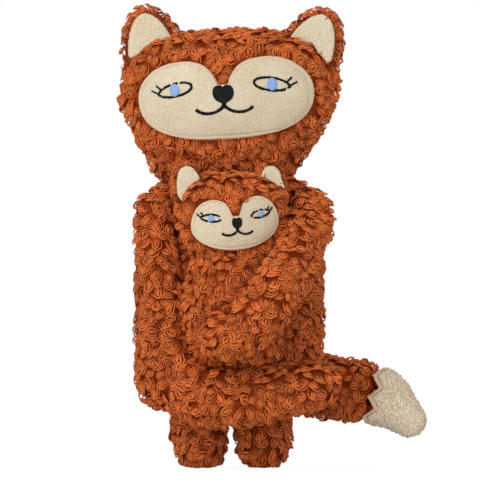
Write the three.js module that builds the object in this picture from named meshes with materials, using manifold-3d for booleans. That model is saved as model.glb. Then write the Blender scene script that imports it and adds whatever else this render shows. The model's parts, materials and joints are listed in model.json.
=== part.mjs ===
// A plush fox that stands on two stub legs and hugs a smaller fox to its belly.
// Millimetres, +Z up. Both foxes look along -Y, and +X is at the viewer's right.
import * as THREE from 'three';
import { mergeVertices } from 'three/addons/utils/BufferGeometryUtils.js';
import Module from 'manifold-3d';

const wasm = await Module();
wasm.setup();

// Clearances that every sewn or resting pair shares
const seamGap = 0.3;
const turnGap = 0.7;
const cutOverrun = 40;

// Big fox: body
const bodyWidth = 129;
const bodyDepth = 88;
const bodyHeight = 159;
const bodyUndersideHeight = 44;
const bodySetBack = 6;
// Height and half width along the body, as shares of its height and half width
const bodyProfileShares = [
  [0, 0], [0.42, 0.004], [0.74, 0.05], [0.93, 0.15], [1, 0.32],
  [0.99, 0.56], [0.97, 0.78], [0.93, 0.92], [0.84, 0.98], [0.74, 1],
];

// Big fox: head
const headWidth = 154;
const headDepth = 84;
const headHeight = 105;
// The head's foot lies left of its middle, and the head leans right by this share of its height
const headFootOffset = -5;
const headLeanShare = 0.06;
const headSetBack = 10;
const headOffset = 0;
const headTurnDegrees = -6;
const headProfileShares = [
  [0.6, 0], [0.66, 0.08], [0.765, 0.2], [0.875, 0.34], [0.97, 0.48], [1, 0.64],
  [0.965, 0.8], [0.8, 0.925], [0.46, 0.985], [0, 1],
];

// Big fox: ears. The base of each ear leans outward on the corner of the head.
const earWidth = 42;
const earHeight = 32;
const earThickness = 11;
const earEdgeRound = 3;
const earRim = 4.5;
const earLiningThickness = 1.6;
const earSpacing = 111;
const earBaseHeight = 90;
const earForward = 9;
const earLeanDegrees = 19;
const earTiltDegrees = 5;
const earTipShare = 0.34;
const earOffset = 1.3;

// Face pieces lie on the head in layers of these thicknesses
const patchThickness = 2;
const stitchThickness = 0.9;
// The two lashes at the outer corner of an eye: where each starts, as shares of the eye's half
// width and half height, and how far it runs out and up, as shares of the lash length
const lashShares = [[0.92, 0.04, 0.86, 0.76], [0.76, 0.46, 0.52, 0.64]];

// Big fox: face, measured from the middle of the nose
// In a face, the cheek and chin shares round the mask's sides and foot: 1 makes them square
const face = {
  noseHeight: 60,
  tiltDegrees: 3.5,
  patchWidth: 122,
  lobeSpacing: 60,
  lobeRise: 24.5,
  notchRise: 7,
  notchWidth: 7,
  patchDrop: 31,
  cheekShare: 0.62,
  chinShare: 0.72,
  noseWidth: 15,
  noseTall: 12.6,
  mouthWidth: 40,
  mouthRise: 3.6,
  mouthDepth: 7.4,
  threadWidth: 1.2,
  eyeSpacing: 68.7,
  eyeRise: 4.7,
  eyeWidth: 26.4,
  eyeTall: 10.4,
  irisWidth: 7,
  eyeDroopDegrees: 10,
  lashLength: 5,
};

// Big fox: left arm (at the viewer's left). It hangs from the shoulder down the side and bends
// at the elbow across the front. The hinge runs through the shoulder and the elbow.
const leftShoulder = { x: -55, y: -24, z: 183 };
const leftElbow = { x: -45.5, y: -29, z: 64 };
const leftShoulderRadius = 14;
// The arm keeps this far from the small fox's body, at rest and at each turn about its hinge
const leftArmClearance = 2;
const leftOpeningDegrees = [4, 8, 12, 16, 20, 24];
const leftUpperRadius = 18.5;
const leftElbowRadius = 22;
const forearmReach = 122;
const forearmForward = 26.6;
const forearmSag = 13;
const forearmRootHalf = 18;
const forearmMidHalf = 21;
const forearmPawHalf = 16.5;
const forearmHalfDepth = 16.6;
const forearmWristShare = 0.85;
const forearmPawDepthShare = 0.9;
// The sleeve is full inside its bend: this roll fills the corner in front of the small fox
const bendRollHalf = 15;
const bendRollHalfDepth = 12;
const bendRollReach = 31;
const bendRollForward = 27;
const bendRollRise = 61;
// From high on the sleeve to the forearm, as shares of the roll's reach, forward way and rise
const bendRollShares = [[-0.09, 0.12, 1], [0.2, 0.66, 0.52], [1, 1, 0]];
// From the elbow to the middle of the paw, as shares of the way across, forward and down
const forearmPathShares = [
  [0, 0, 0], [0.144, 0.5, 0.55], [0.38, 1, 1], [0.76, 1, 0.75], [1, 0.875, 0.333],
];

// Big fox: right arm. It comes over the shoulder and slants down across the small fox.
const rightShoulder = { x: 54.5, y: -13, z: 182.5 };
const rightShoulderRadius = 16;
// The sleeve is hollowed so that it clears the body's side at these turns
const rightOpeningDegrees = [85, 95];
const rightReachAcross = 61.5;
const rightReachForward = 74;
const rightDrop = 90;
const rightUpperHalf = 15.5;
const rightPawHalf = 17.5;
const rightHalfDepth = 14;
const rightPawEndShare = 0.9;
// From the shoulder to the paw, as shares of the way across, forward and down
const rightPathShares = [
  [0, 0, 0], [0, 0.28, 0.08], [0.07, 0.6, 0.27], [0.24, 0.85, 0.5], [0.48, 0.98, 0.74],
  [0.75, 1, 0.93], [1, 0.97, 1],
];

// Big fox: legs, cut flat where they stand
const legWidth = 41;
const legDepth = 57;
const legHeight = 74;
const legSpacing = 44.5;
const legSetForward = 2;
const legToElbow = 9;
const soleFlat = 0.5;
// The underside of the body and the tops of the legs follow one arc about the hip line
const hipHeight = 95;
const hipRadius = 50;
const legProfileShares = [
  [0, 0], [0.56, 0.004], [0.72, 0.04], [0.85, 0.11], [0.95, 0.22], [1, 0.38], [0.95, 0.7],
  [0.93, 1],
];

// Tail, with a zigzag seam before its pale tip
const tailRoot = { x: 4, y: 52, z: 71 };
const tailRootRadius = 13;
const tailRootStraight = 1;
const tailReach = 122;
const tailBow = 6;
const tailEndForward = 28;
const tailDroop = 41;
const tailHalfWidth = 21;
const tailTipHalf = 12;
// From the root to the tip, as shares of the way across, of the bow, of the way forward and down
const tailPathShares = [
  [0, 0, 0, 0], [0.2, 1, 0, 0.16], [0.42, 0.333, 0, 0.32], [0.66, 0, 0.4, 0.4],
  [0.85, 0, 0.8, 0.55], [1, 0, 1, 0.91],
];
const tailWidthShares = [0.9, 1, 1, 0.99];
const tailDepthShares = [0.85, 1, 1, 0.85];
const tailBandWidth = 3.2;
const tailSeamPlaceShare = 0.755;
const tailSeamSlopeDegrees = 14;
const zigzagDepth = 7;
const zigzagPitch = 15;

// Small fox
const babyOffset = 1;
const babyBodyWidth = 70;
const babyBodyDepth = 35;
const babyBodyHeight = 77;
const babyUndersideHeight = 73;
const babyWidestShare = 0.42;
// How much of its depth lies behind its middle line, before its back is cut flat
const babyBackShare = 0.42;
const babyBodyProfileShares = [
  [0, 0], [0.5, 0.005], [0.8, 0.06], [0.96, 0.2], [1, 0.42], [0.97, 0.68], [0.86, 0.9], [0.78, 1],
];
const babyHeadWidth = 78;
const babyHeadDepth = 41;
const babyHeadHeight = 57.5;
const babyHeadTurnDegrees = 9;
const babyHeadProfileShares = [
  [0.66, 0], [0.8, 0.1], [0.93, 0.26], [1, 0.46], [0.98, 0.66], [0.88, 0.83], [0.55, 0.96], [0, 1],
];
const babyEarWidth = 23;
const babyEarHeight = 21;
const babyEarThickness = 8;
const babyEarEdgeRound = 2;
const babyEarRim = 2;
const babyEarLiningThickness = 1.2;
const babyEarSpacing = 56;
const babyEarBaseHeight = 43;
const babyEarForward = 2;
const babyEarLeanDegrees = 6.5;
const babyEarTiltDegrees = -6.5;
const babyEarTipShare = 0.42;
const babyEarOffset = -2;
const babyFace = {
  noseHeight: 22.5,
  tiltDegrees: 5.4,
  patchWidth: 61,
  lobeSpacing: 31,
  lobeRise: 17.5,
  notchRise: 5,
  notchWidth: 5,
  patchDrop: 18.5,
  cheekShare: 0.55,
  chinShare: 0.55,
  noseWidth: 7.2,
  noseTall: 7.2,
  mouthWidth: 21.5,
  mouthRise: 1.6,
  mouthDepth: 4.2,
  threadWidth: 1.1,
  eyeSpacing: 35,
  eyeRise: 5,
  eyeWidth: 15,
  eyeTall: 6,
  irisWidth: 4,
  eyeDroopDegrees: -9,
  lashLength: 2.8,
};
const babyPatchThickness = 1.5;
const babyStitchThickness = 0.8;

// How finely the forms are faceted
const bodySides = 34;
const headSides = 36;
const hipSides = 56;
const limbSides = 18;
const babySides = 24;
const profileSteps = 12;
const domeSteps = 3;
const shoulderSteps = 10;
const threadSteps = 20;
const arcSteps = 8;
const bevelSteps = 2;

const toRadians = THREE.MathUtils.degToRad;

// Solids

/** A closed mesh as a solid: its shared corners are merged and its flat slivers dropped. */
function solidOf(geometry) {
  geometry.deleteAttribute('normal');
  geometry.deleteAttribute('uv');
  const merged = mergeVertices(geometry);
  const corners = merged.index.array;
  const kept = [];
  for (let i = 0; i < corners.length; i += 3) {
    const [a, b, c] = corners.slice(i, i + 3);
    if (a !== b && b !== c && c !== a) {
      kept.push(a, b, c);
    }
  }
  return new wasm.Manifold(new wasm.Mesh({
    numProp: 3,
    vertProperties: new Float32Array(merged.attributes.position.array),
    triVerts: new Uint32Array(kept),
  }));
}

/** The geometry of a solid, ready for a mesh. */
function geometryOf(solid) {
  const mesh = solid.getMesh();
  const geometry = new THREE.BufferGeometry();
  geometry.setAttribute('position', new THREE.BufferAttribute(mesh.vertProperties, mesh.numProp));
  geometry.setIndex(new THREE.BufferAttribute(mesh.triVerts, 1));
  geometry.computeVertexNormals();
  return geometry;
}

/** A solid moved from one group's frame into another's. */
function moved(solid, from, to) {
  from.updateWorldMatrix(true, false);
  to.updateWorldMatrix(true, false);
  const step = to.matrixWorld.clone().invert().multiply(from.matrixWorld);
  return solid.transform(step.elements);
}

/** A solid turned about the line from one point to another. */
function turnedAbout(solid, from, to, degrees) {
  const axis = new THREE.Vector3().subVectors(to, from).normalize();
  const turn = new THREE.Matrix4().makeTranslation(from)
    .multiply(new THREE.Matrix4().makeRotationAxis(axis, toRadians(degrees)))
    .multiply(new THREE.Matrix4().makeTranslation(from.clone().negate()));
  return solid.transform(turn.elements);
}

/** A box solid between two corners. */
function boxBetween(low, high) {
  const size = new THREE.Vector3().subVectors(high, low);
  const middle = new THREE.Vector3().addVectors(low, high).multiplyScalar(1 / 2);
  const geometry = new THREE.BoxGeometry(size.x, size.y, size.z);
  return solidOf(geometry.translate(middle.x, middle.y, middle.z));
}

/** A stuffed form turned about Z and flattened front to back. Its base is at zero height. */
function turnedForm(profileShares, width, depth, height, sides, grow = 0) {
  const outline = new THREE.SplineCurve(profileShares.map(
    ([across, up]) => new THREE.Vector2(across, up),
  )).getPoints(profileSteps);
  const half = width / 2 + grow;
  const points = outline.map((point) => new THREE.Vector2(
    Math.max(point.x, 0) * half,
    THREE.MathUtils.lerp(-grow, height + grow, THREE.MathUtils.clamp(point.y, 0, 1)),
  ));
  if (points[0].x > 0) {
    points.unshift(new THREE.Vector2(0, points[0].y));
  }
  const last = points[points.length - 1];
  if (last.x > 0) {
    points.push(new THREE.Vector2(0, last.y));
  }
  const geometry = new THREE.LatheGeometry(points, sides);
  geometry.rotateX(Math.PI / 2);
  geometry.scale(1, (depth / 2 + grow) / half, 1);
  return solidOf(geometry);
}

/** A value between the entries of a list, with place running from 0 to 1 along it. */
function along(list, place) {
  const curve = new THREE.SplineCurve(list.map((value) => new THREE.Vector2(value, 0)));
  return curve.getPoint(place).x;
}

/** A stuffed limb: rings of the given half widths and half depths along a curve, with round ends. */
function limbForm(places, halfWidths, halfDepths, steps, grow = 0) {
  const path = new THREE.CatmullRomCurve3(places.map((at) => new THREE.Vector3(...at)));
  const rings = 2 * domeSteps + steps;
  const geometry = new THREE.SphereGeometry(1, limbSides, rings);
  const position = geometry.attributes.position;
  const front = new THREE.Vector3(0, 1, 0);
  const corner = new THREE.Vector3();
  for (let i = 0; i < position.count; i += 1) {
    corner.fromBufferAttribute(position, i);
    const ring = Math.round(Math.acos(THREE.MathUtils.clamp(corner.y, -1, 1)) / Math.PI * rings);
    const place = THREE.MathUtils.clamp((ring - domeSteps) / steps, 0, 1);
    const past = ring < domeSteps ? ring - domeSteps : Math.max(ring - domeSteps - steps, 0);
    const domeAngle = past / domeSteps * Math.PI / 2;
    const tangent = path.getTangent(place);
    const deep = front.clone().addScaledVector(tangent, -front.dot(tangent)).normalize();
    const wide = new THREE.Vector3().crossVectors(tangent, deep);
    const halfWide = along(halfWidths, place) + grow;
    const halfDeep = along(halfDepths, place) + grow;
    const turn = Math.atan2(corner.z, corner.x);
    const middle = path.getPoint(place);
    middle.addScaledVector(tangent, Math.sin(domeAngle) * Math.min(halfWide, halfDeep));
    middle.addScaledVector(deep, Math.cos(turn) * halfDeep * Math.cos(domeAngle));
    middle.addScaledVector(wide, Math.sin(turn) * halfWide * Math.cos(domeAngle));
    position.setXYZ(i, middle.x, middle.y, middle.z);
  }
  return solidOf(geometry);
}

/** A prism of a shape drawn in X and Z, running forward from zero depth. */
function forwardPrism(shape, length) {
  const geometry = new THREE.ExtrudeGeometry(shape, { depth: length, bevelEnabled: false });
  geometry.rotateX(Math.PI / 2);
  return solidOf(geometry);
}

// Outlines

/** A shape from its right half, drawn as a path from the top middle to the bottom middle. */
function mirroredShape(rightHalf) {
  const right = rightHalf.getPoints(arcSteps);
  const left = right.slice(1, -1).reverse().map((point) => new THREE.Vector2(-point.x, point.y));
  return new THREE.Shape([...right, ...left]);
}

/** The mask of pale cloth: two round lobes over the eyes and a notch above the nose. */
function patchShape(size) {
  const half = size.patchWidth / 2;
  const lobe = size.lobeSpacing / 2;
  const top = size.lobeRise;
  const low = -size.patchDrop;
  const notch = size.notchWidth / 2;
  const browShare = 0.12;
  const browRiseShare = 0.6;
  const fullnessShare = 0.56;
  const path = new THREE.Path();
  path.moveTo(0, size.notchRise);
  path.lineTo(notch, size.notchRise);
  path.bezierCurveTo(notch + (lobe - notch) * browShare,
    size.notchRise + (top - size.notchRise) * browRiseShare, lobe * (1 - fullnessShare), top,
    lobe, top);
  path.bezierCurveTo(lobe + (half - lobe) * fullnessShare, top, half, top * fullnessShare, half, 0);
  path.bezierCurveTo(half, low * size.cheekShare, half * size.chinShare, low, 0, low);
  return mirroredShape(path);
}

/** The nose: two lobes at the top and a point below. */
function noseShape(size) {
  const half = size.noseWidth / 2;
  const rise = size.noseTall / 2;
  const dipShare = 0.62;
  const path = new THREE.Path();
  path.moveTo(0, rise * dipShare);
  path.bezierCurveTo(half * dipShare / 2, rise, half, rise, half, rise / 4);
  path.bezierCurveTo(half, -rise / 4, half * dipShare / 2, -rise * dipShare, 0, -rise);
  return mirroredShape(path);
}

/** An eye: a point at its outer end, on the given side, and a round inner end. */
function eyeShape(width, tall, side) {
  const outer = side * width / 2;
  const lidShare = 0.62;
  const roundShare = 0.8;
  const lidRise = tall / 2 / (3 / 8 * (1 + roundShare));
  const shape = new THREE.Shape();
  shape.moveTo(outer, 0);
  shape.bezierCurveTo(outer * lidShare, -lidRise, -outer, -lidRise * roundShare, -outer, 0);
  shape.bezierCurveTo(-outer, lidRise * roundShare, outer * lidShare, lidRise, outer, 0);
  return shape;
}

/** A flap ear, widest at its base. Its base runs down past zero height, and a larger tip share
 * makes its tip rounder. */
function earShape(width, height, footing, tipShare) {
  const half = width / 2;
  const path = new THREE.Path();
  path.moveTo(0, height);
  path.bezierCurveTo(half * tipShare, height, half * (1 - tipShare / 2), height * tipShare * 2,
    half, 0);
  path.lineTo(half, -footing);
  path.lineTo(0, -footing);
  return mirroredShape(path);
}

/** A thread of one width that follows a flat curve. */
function threadShape(curve, width) {
  const edge = (side) => Array.from({ length: threadSteps + 1 }, (_, i) => {
    const point = curve.getPoint(i / threadSteps);
    const tangent = curve.getTangent(i / threadSteps);
    return new THREE.Vector2(
      point.x - side * tangent.y * width / 2, point.y + side * tangent.x * width / 2,
    );
  });
  return new THREE.Shape([...edge(-1), ...edge(1).reverse()]);
}

/** The line of the mouth: it drops from the nose and curls up at both ends. */
function mouthCurve(size) {
  const half = size.mouthWidth / 2;
  const top = -size.noseTall / 2 - size.threadWidth;
  const low = top - size.mouthDepth;
  const bendShare = 0.62;
  return new THREE.CatmullRomCurve3([
    [-half, low + size.mouthRise], [-half * bendShare, low], [-half * bendShare / 3, (top + low * 2) / 3],
    [0, top], [half * bendShare / 3, (top + low * 2) / 3], [half * bendShare, low],
    [half, low + size.mouthRise],
  ].map(([x, z]) => new THREE.Vector3(x, z, 0)));
}

// The assembly

const fox = new THREE.Group();

/** Hangs a solid in a group as a named piece of its own colour. */
function piece(name, solid, group, colour, roughness = 1) {
  const material = new THREE.MeshStandardMaterial({ color: colour, roughness, metalness: 0 });
  const mesh = new THREE.Mesh(geometryOf(solid), material);
  mesh.name = name;
  group.add(mesh);
  return mesh;
}

const rust = 0xb5622f;
const cream = 0xddd0b4;
const seamTape = 0xe2bfa0;
const thread = 0x17171b;
const irisBlue = 0x8fb2e6;
const threadRoughness = 0.6;

/** A group inside another, at a place and turned about Z and then tilted about Y. */
function frameAt(parent, at, turnDegrees = 0, tiltDegrees = 0) {
  const group = new THREE.Group();
  group.rotation.order = 'ZYX';
  group.position.set(at.x, at.y, at.z);
  group.rotation.set(0, toRadians(tiltDegrees), toRadians(turnDegrees));
  parent.add(group);
  return group;
}

/** The sewn face of a head: the pale mask and the stitched nose, mouth and eyes. */
function addFace(prefix, head, formAt, size, layers, reach) {
  const middle = new THREE.Group();
  middle.position.z = size.noseHeight;
  middle.rotation.y = -toRadians(size.tiltDegrees);
  head.add(middle);
  const patchTop = seamGap + layers.patch;
  const shellOf = (shape, low, high, spot = middle) => moved(forwardPrism(shape, reach), spot, head)
    .intersect(formAt(high)).subtract(formAt(low));
  piece(`${prefix}_face_patch`, shellOf(patchShape(size), seamGap, patchTop), head, cream);
  const stitchLow = patchTop + seamGap;
  const stitchHigh = stitchLow + layers.stitch;
  const stitched = (shape, spot) => shellOf(shape, stitchLow, stitchHigh, spot);
  piece(`${prefix}_nose`, stitched(noseShape(size)), head, thread, threadRoughness);
  piece(`${prefix}_mouth`, stitched(threadShape(mouthCurve(size), size.threadWidth)), head, thread,
    threadRoughness);
  for (const [side, name] of [[-1, 'left'], [1, 'right']]) {
    const spot = new THREE.Group();
    spot.position.set(side * size.eyeSpacing / 2, 0, size.eyeRise);
    spot.rotation.y = side * toRadians(size.eyeDroopDegrees);
    middle.add(spot);
    const inWidth = size.eyeWidth - 3 * size.threadWidth;
    const inTall = size.eyeTall - 2 * size.threadWidth;
    let outline = stitched(eyeShape(size.eyeWidth, size.eyeTall, side), spot);
    for (const [across, up, reach, rise] of lashShares) {
      const start = new THREE.Vector3(side * size.eyeWidth / 2 * across, size.eyeTall / 2 * up, 0);
      const run = new THREE.Vector3(side * size.lashLength * reach, size.lashLength * rise, 0);
      const lash = new THREE.LineCurve3(start, start.clone().add(run));
      outline = outline.add(stitched(threadShape(lash, size.threadWidth), spot));
    }
    outline = outline.subtract(shellOf(eyeShape(inWidth, inTall, side), 0,
      stitchHigh + seamGap, spot));
    piece(`${prefix}_${name}_eye_outline`, outline, head, thread, threadRoughness);
    const round = new THREE.Shape();
    round.absellipse(0, 0, size.irisWidth / 2, size.eyeTall / 2, 0, 2 * Math.PI);
    const iris = stitched(round, spot)
      .intersect(shellOf(eyeShape(inWidth - 2 * seamGap, inTall - 2 * seamGap, side), 0,
        stitchHigh + seamGap, spot));
    piece(`${prefix}_${name}_iris`, iris, head, irisBlue, threadRoughness);
  }
}

/** The two flap ears of a head, each with its pale lining. */
function addEars(prefix, head, formAt, size) {
  const footingShare = 0.6;
  for (const [side, name] of [[-1, 'left'], [1, 'right']]) {
    const spot = frameAt(head, {
      x: size.offset + side * size.spacing / 2, y: -size.forward, z: size.baseHeight,
    }, 0, side * size.leanDegrees + size.tiltDegrees);
    const back = new THREE.ExtrudeGeometry(earShape(size.width - 2 * size.round,
      size.height - size.round, size.height * footingShare, size.tipShare), {
      depth: size.thickness - 2 * size.round,
      bevelSize: size.round,
      bevelThickness: size.round,
      bevelSegments: bevelSteps,
    });
    back.rotateX(Math.PI / 2);
    back.translate(0, (size.thickness - 2 * size.round) / 2, 0);
    const room = formAt(seamGap);
    piece(`${prefix}_${name}_ear`, moved(solidOf(back), spot, head).subtract(room), head, rust);
    const lining = forwardPrism(earShape(size.width - 2 * size.rim, size.height - size.rim,
      size.height * footingShare, size.tipShare), size.lining);
    const laid = lining.translate([0, -size.thickness / 2 - seamGap, 0]);
    piece(`${prefix}_${name}_ear_lining`, moved(laid, spot, head).subtract(room), head, cream);
  }
}

// Big fox: trunk, with its underside following the arc of the hips
const mother = new THREE.Group();
fox.add(mother);
const trunk = frameAt(mother, { x: 0, y: bodySetBack, z: bodyUndersideHeight });
const bodyFront = bodySetBack - bodyDepth / 2;
const neckHeight = bodyUndersideHeight + bodyHeight;
const hips = frameAt(mother, { x: 0, y: bodySetBack, z: hipHeight });
const hipRoller = (radius) => {
  const geometry = new THREE.CylinderGeometry(radius, radius, bodyWidth + cutOverrun, hipSides);
  return moved(solidOf(geometry.rotateZ(Math.PI / 2)), hips, mother);
};
const underHips = boxBetween(
  new THREE.Vector3(-bodyWidth, -bodyDepth, -cutOverrun),
  new THREE.Vector3(bodyWidth, bodyDepth, hipHeight),
).subtract(hipRoller(hipRadius));
const bodyForm = moved(turnedForm(bodyProfileShares, bodyWidth, bodyDepth, bodyHeight, bodySides),
  trunk, mother);
const bodyRoom = moved(turnedForm(bodyProfileShares, bodyWidth, bodyDepth, bodyHeight, bodySides,
  seamGap), trunk, mother);

// Big fox: left arm. The upper arm is round about its hinge line, so it turns in its own hollow.
const leftTop = new THREE.Vector3(leftShoulder.x, leftShoulder.y, leftShoulder.z);
const leftBottom = new THREE.Vector3(leftElbow.x, leftElbow.y, leftElbow.z);
const upperArm = (grow) => limbForm(
  [leftBottom.toArray(), leftBottom.clone().lerp(leftTop, 1 / 2).toArray(), leftTop.toArray()],
  [leftElbowRadius, leftUpperRadius, leftShoulderRadius],
  [leftElbowRadius, leftUpperRadius, leftShoulderRadius], shoulderSteps, grow);
const forearmPath = forearmPathShares.map(([across, forward, down]) => [
  leftElbow.x + (forearmReach - forearmPawHalf) * across,
  leftElbow.y - forearmForward * forward,
  leftElbow.z - forearmSag * down,
]);
const forearm = limbForm(forearmPath,
  [forearmRootHalf, forearmMidHalf, forearmMidHalf, forearmMidHalf * forearmWristShare,
    forearmPawHalf],
  [forearmHalfDepth, forearmHalfDepth, forearmHalfDepth, forearmHalfDepth,
    forearmPawHalf * forearmPawDepthShare], profileSteps);
const bendRoll = limbForm(bendRollShares.map(([across, forward, up]) => [
  leftElbow.x + bendRollReach * across,
  leftElbow.y - bendRollForward * forward,
  leftElbow.z + bendRollRise * up,
]), [bendRollHalfDepth, bendRollHalf, bendRollHalf],
[bendRollHalfDepth, bendRollHalfDepth, bendRollHalfDepth], shoulderSteps);
const leftArm = upperArm(0).add(forearm.add(bendRoll).subtract(bodyRoom));

// Big fox: right arm
const rightTop = new THREE.Vector3(rightShoulder.x, rightShoulder.y, rightShoulder.z);
const rightArmPath = rightPathShares.map(([across, forward, down]) => [
  rightShoulder.x - rightReachAcross * across,
  rightShoulder.y - rightReachForward * forward,
  rightShoulder.z - rightDrop * down,
]);
const rightSleeve = limbForm(rightArmPath,
  [rightUpperHalf, rightUpperHalf, rightUpperHalf, rightPawHalf, rightPawHalf, rightPawHalf,
    rightPawHalf * rightPawEndShare],
  [rightUpperHalf, rightUpperHalf, rightHalfDepth, rightHalfDepth, rightHalfDepth, rightHalfDepth,
    rightHalfDepth], profileSteps);
const rightCap = (grow) => limbForm(
  [[rightTop.x, rightTop.y, rightTop.z - rightShoulderRadius], rightTop.toArray()],
  [rightShoulderRadius, rightShoulderRadius], [rightShoulderRadius, rightShoulderRadius],
  domeSteps, grow);
const underRightTop = rightTop.clone().setZ(0);
const besideBody = rightOpeningDegrees.reduce((room, degrees) => room.add(
  turnedAbout(bodyRoom, underRightTop, rightTop, -degrees)), bodyRoom);
const rightArm = rightCap(0).add(rightSleeve.subtract(besideBody));

// Tail: it leaves the low back and bows round to the right
const tailPath = tailPathShares.map(([across, bow, forward, down]) => [
  tailRoot.x + tailReach * across,
  tailRoot.y + tailBow * bow - tailEndForward * forward,
  tailRoot.z - tailDroop * down,
]);
const tailHalves = (shares) => [
  tailRootRadius, ...shares.map((share) => tailHalfWidth * share), tailTipHalf,
];
const tailForm = limbForm(tailPath, tailHalves(tailWidthShares), tailHalves(tailDepthShares),
  profileSteps + domeSteps);
const tailPivotCap = (grow) => limbForm(
  [-tailRootStraight / 2, tailRootStraight / 2].map((up) => [tailRoot.x, tailRoot.y, tailRoot.z + up]),
  [tailRootRadius, tailRootRadius], [tailRootRadius, tailRootRadius], domeSteps, grow);
const tailWhole = tailPivotCap(0).add(tailForm.subtract(bodyRoom));

/** Everything past a zigzag line across the tail. */
function pastZigzag(shift) {
  const place = frameAt(mother, {
    x: tailRoot.x + tailReach * tailSeamPlaceShare + shift,
    y: bodyDepth,
    z: tailRoot.z - tailDroop / 2,
  }, 0, tailSeamSlopeDegrees);
  const teeth = Math.ceil(tailHalfWidth * 2 / zigzagPitch) + 1;
  const points = [];
  for (let i = -teeth; i <= teeth; i += 1) {
    points.push(new THREE.Vector2(i % 2 === 0 ? 0 : zigzagDepth, i * zigzagPitch / 2));
  }
  points.push(new THREE.Vector2(tailReach, teeth * zigzagPitch / 2));
  points.push(new THREE.Vector2(tailReach, -teeth * zigzagPitch / 2));
  return moved(forwardPrism(new THREE.Shape(points.reverse()), bodyDepth * 2), place, mother);
}

// Small fox: it leans back flat against the big belly
const babyBack = bodyFront - seamGap;
const babyMiddle = babyBack - babyBodyDepth * babyBackShare;
const baby = new THREE.Group();
fox.add(baby);
const babyTrunk = frameAt(baby, { x: babyOffset, y: babyMiddle, z: babyUndersideHeight });
const babyNeck = babyUndersideHeight + babyBodyHeight;
const babyHead = frameAt(baby, { x: babyOffset, y: babyMiddle, z: babyNeck + seamGap },
  babyHeadTurnDegrees);
const inFrontOfBelly = boxBetween(
  new THREE.Vector3(-bodyWidth, babyBack - bodyDepth, 0),
  new THREE.Vector3(bodyWidth, babyBack, neckHeight + headHeight),
);
const babyBodyAt = (grow) => moved(turnedForm(babyBodyProfileShares, babyBodyWidth, babyBodyDepth,
  babyBodyHeight, babySides, grow), babyTrunk, baby);
const babyBodyForm = babyBodyAt(0).intersect(inFrontOfBelly);
// The room that the small fox takes, and the way up that it is lifted out by
const babyWidestHeight = babyUndersideHeight + babyBodyHeight * babyWidestShare;
const wayUp = new THREE.CylinderGeometry(1, 1, neckHeight + headHeight - babyWidestHeight, bodySides);
wayUp.rotateX(Math.PI / 2);
wayUp.scale(babyBodyWidth / 2 + turnGap, babyBodyDepth / 2 + turnGap, 1);
wayUp.translate(babyOffset, babyMiddle, (neckHeight + headHeight + babyWidestHeight) / 2);
const babyHeadFormAt = (grow) => turnedForm(babyHeadProfileShares, babyHeadWidth, babyHeadDepth,
  babyHeadHeight, headSides, grow);
const babyHeadForm = babyHeadFormAt(0)
  .intersect(moved(inFrontOfBelly, baby, babyHead));
const babyRoom = babyBodyAt(turnGap).add(solidOf(wayUp))
  .add(moved(babyHeadFormAt(turnGap), babyHead, baby));
piece('baby_body', babyBodyForm, baby, rust);
piece('baby_head', babyHeadForm, babyHead, rust);
addFace('baby', babyHead, babyHeadFormAt, babyFace,
  { patch: babyPatchThickness, stitch: babyStitchThickness }, babyHeadDepth);
addEars('baby', babyHead, babyHeadFormAt, {
  width: babyEarWidth, height: babyEarHeight, thickness: babyEarThickness, round: babyEarEdgeRound,
  rim: babyEarRim, lining: babyEarLiningThickness, spacing: babyEarSpacing,
  baseHeight: babyEarBaseHeight, forward: babyEarForward, leanDegrees: babyEarLeanDegrees,
  tiltDegrees: babyEarTiltDegrees, tipShare: babyEarTipShare, offset: babyEarOffset,
});

// Big fox: pieces in place
piece('mother_body', bodyForm.subtract(underHips).subtract(upperArm(turnGap))
  .subtract(rightCap(turnGap)).subtract(tailPivotCap(turnGap)), mother, rust);
const besideSmallFox = babyBodyAt(leftArmClearance);
const leftArmRoom = leftOpeningDegrees.reduce((room, degrees) => room.add(
  turnedAbout(besideSmallFox, leftBottom, leftTop, degrees)), babyRoom.add(besideSmallFox));
piece('mother_left_arm', leftArm.subtract(leftArmRoom), mother, rust);
piece('mother_right_arm', rightArm.subtract(babyRoom), mother, rust);
piece('tail', tailWhole.subtract(pastZigzag(-seamGap)), mother, rust);
piece('tail_band', tailWhole.subtract(pastZigzag(tailBandWidth)).intersect(pastZigzag(0)), mother,
  seamTape);
piece('tail_tip', tailWhole.intersect(pastZigzag(tailBandWidth + seamGap)), mother, cream);

const legRoom = hipRoller(hipRadius + seamGap);
for (const [side, name] of [[-1, 'left'], [1, 'right']]) {
  const leg = turnedForm(legProfileShares, legWidth, legDepth, legHeight, babySides);
  const stand = boxBetween(new THREE.Vector3(-bodyWidth, -bodyDepth, 0),
    new THREE.Vector3(bodyWidth, bodyDepth, hipHeight));
  const place = frameAt(mother, {
    x: side * legSpacing / 2, y: bodySetBack - legSetForward - soleFlat, z: -soleFlat,
  });
  piece(`mother_${name}_leg`, moved(leg, place, mother).intersect(stand).subtract(legRoom)
    .subtract(upperArm(legToElbow)), mother, rust);
}

const head = frameAt(mother, { x: headOffset, y: headSetBack, z: neckHeight + seamGap }, headTurnDegrees);
const headLean = new THREE.Matrix4().makeShear(0, 0, 0, 0, headLeanShare, 0)
  .setPosition(headFootOffset, 0, 0);
const headFormAt = (grow) => turnedForm(headProfileShares, headWidth, headDepth, headHeight,
  headSides, grow).transform(headLean.elements);
piece('mother_head', headFormAt(0), head, rust);
addFace('mother', head, headFormAt, face, { patch: patchThickness, stitch: stitchThickness },
  headDepth);
addEars('mother', head, headFormAt, {
  width: earWidth, height: earHeight, thickness: earThickness, round: earEdgeRound, rim: earRim,
  lining: earLiningThickness, spacing: earSpacing, baseHeight: earBaseHeight,
  forward: earForward, leanDegrees: earLeanDegrees, tiltDegrees: earTiltDegrees,
  tipShare: earTipShare, offset: earOffset,
});

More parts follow.
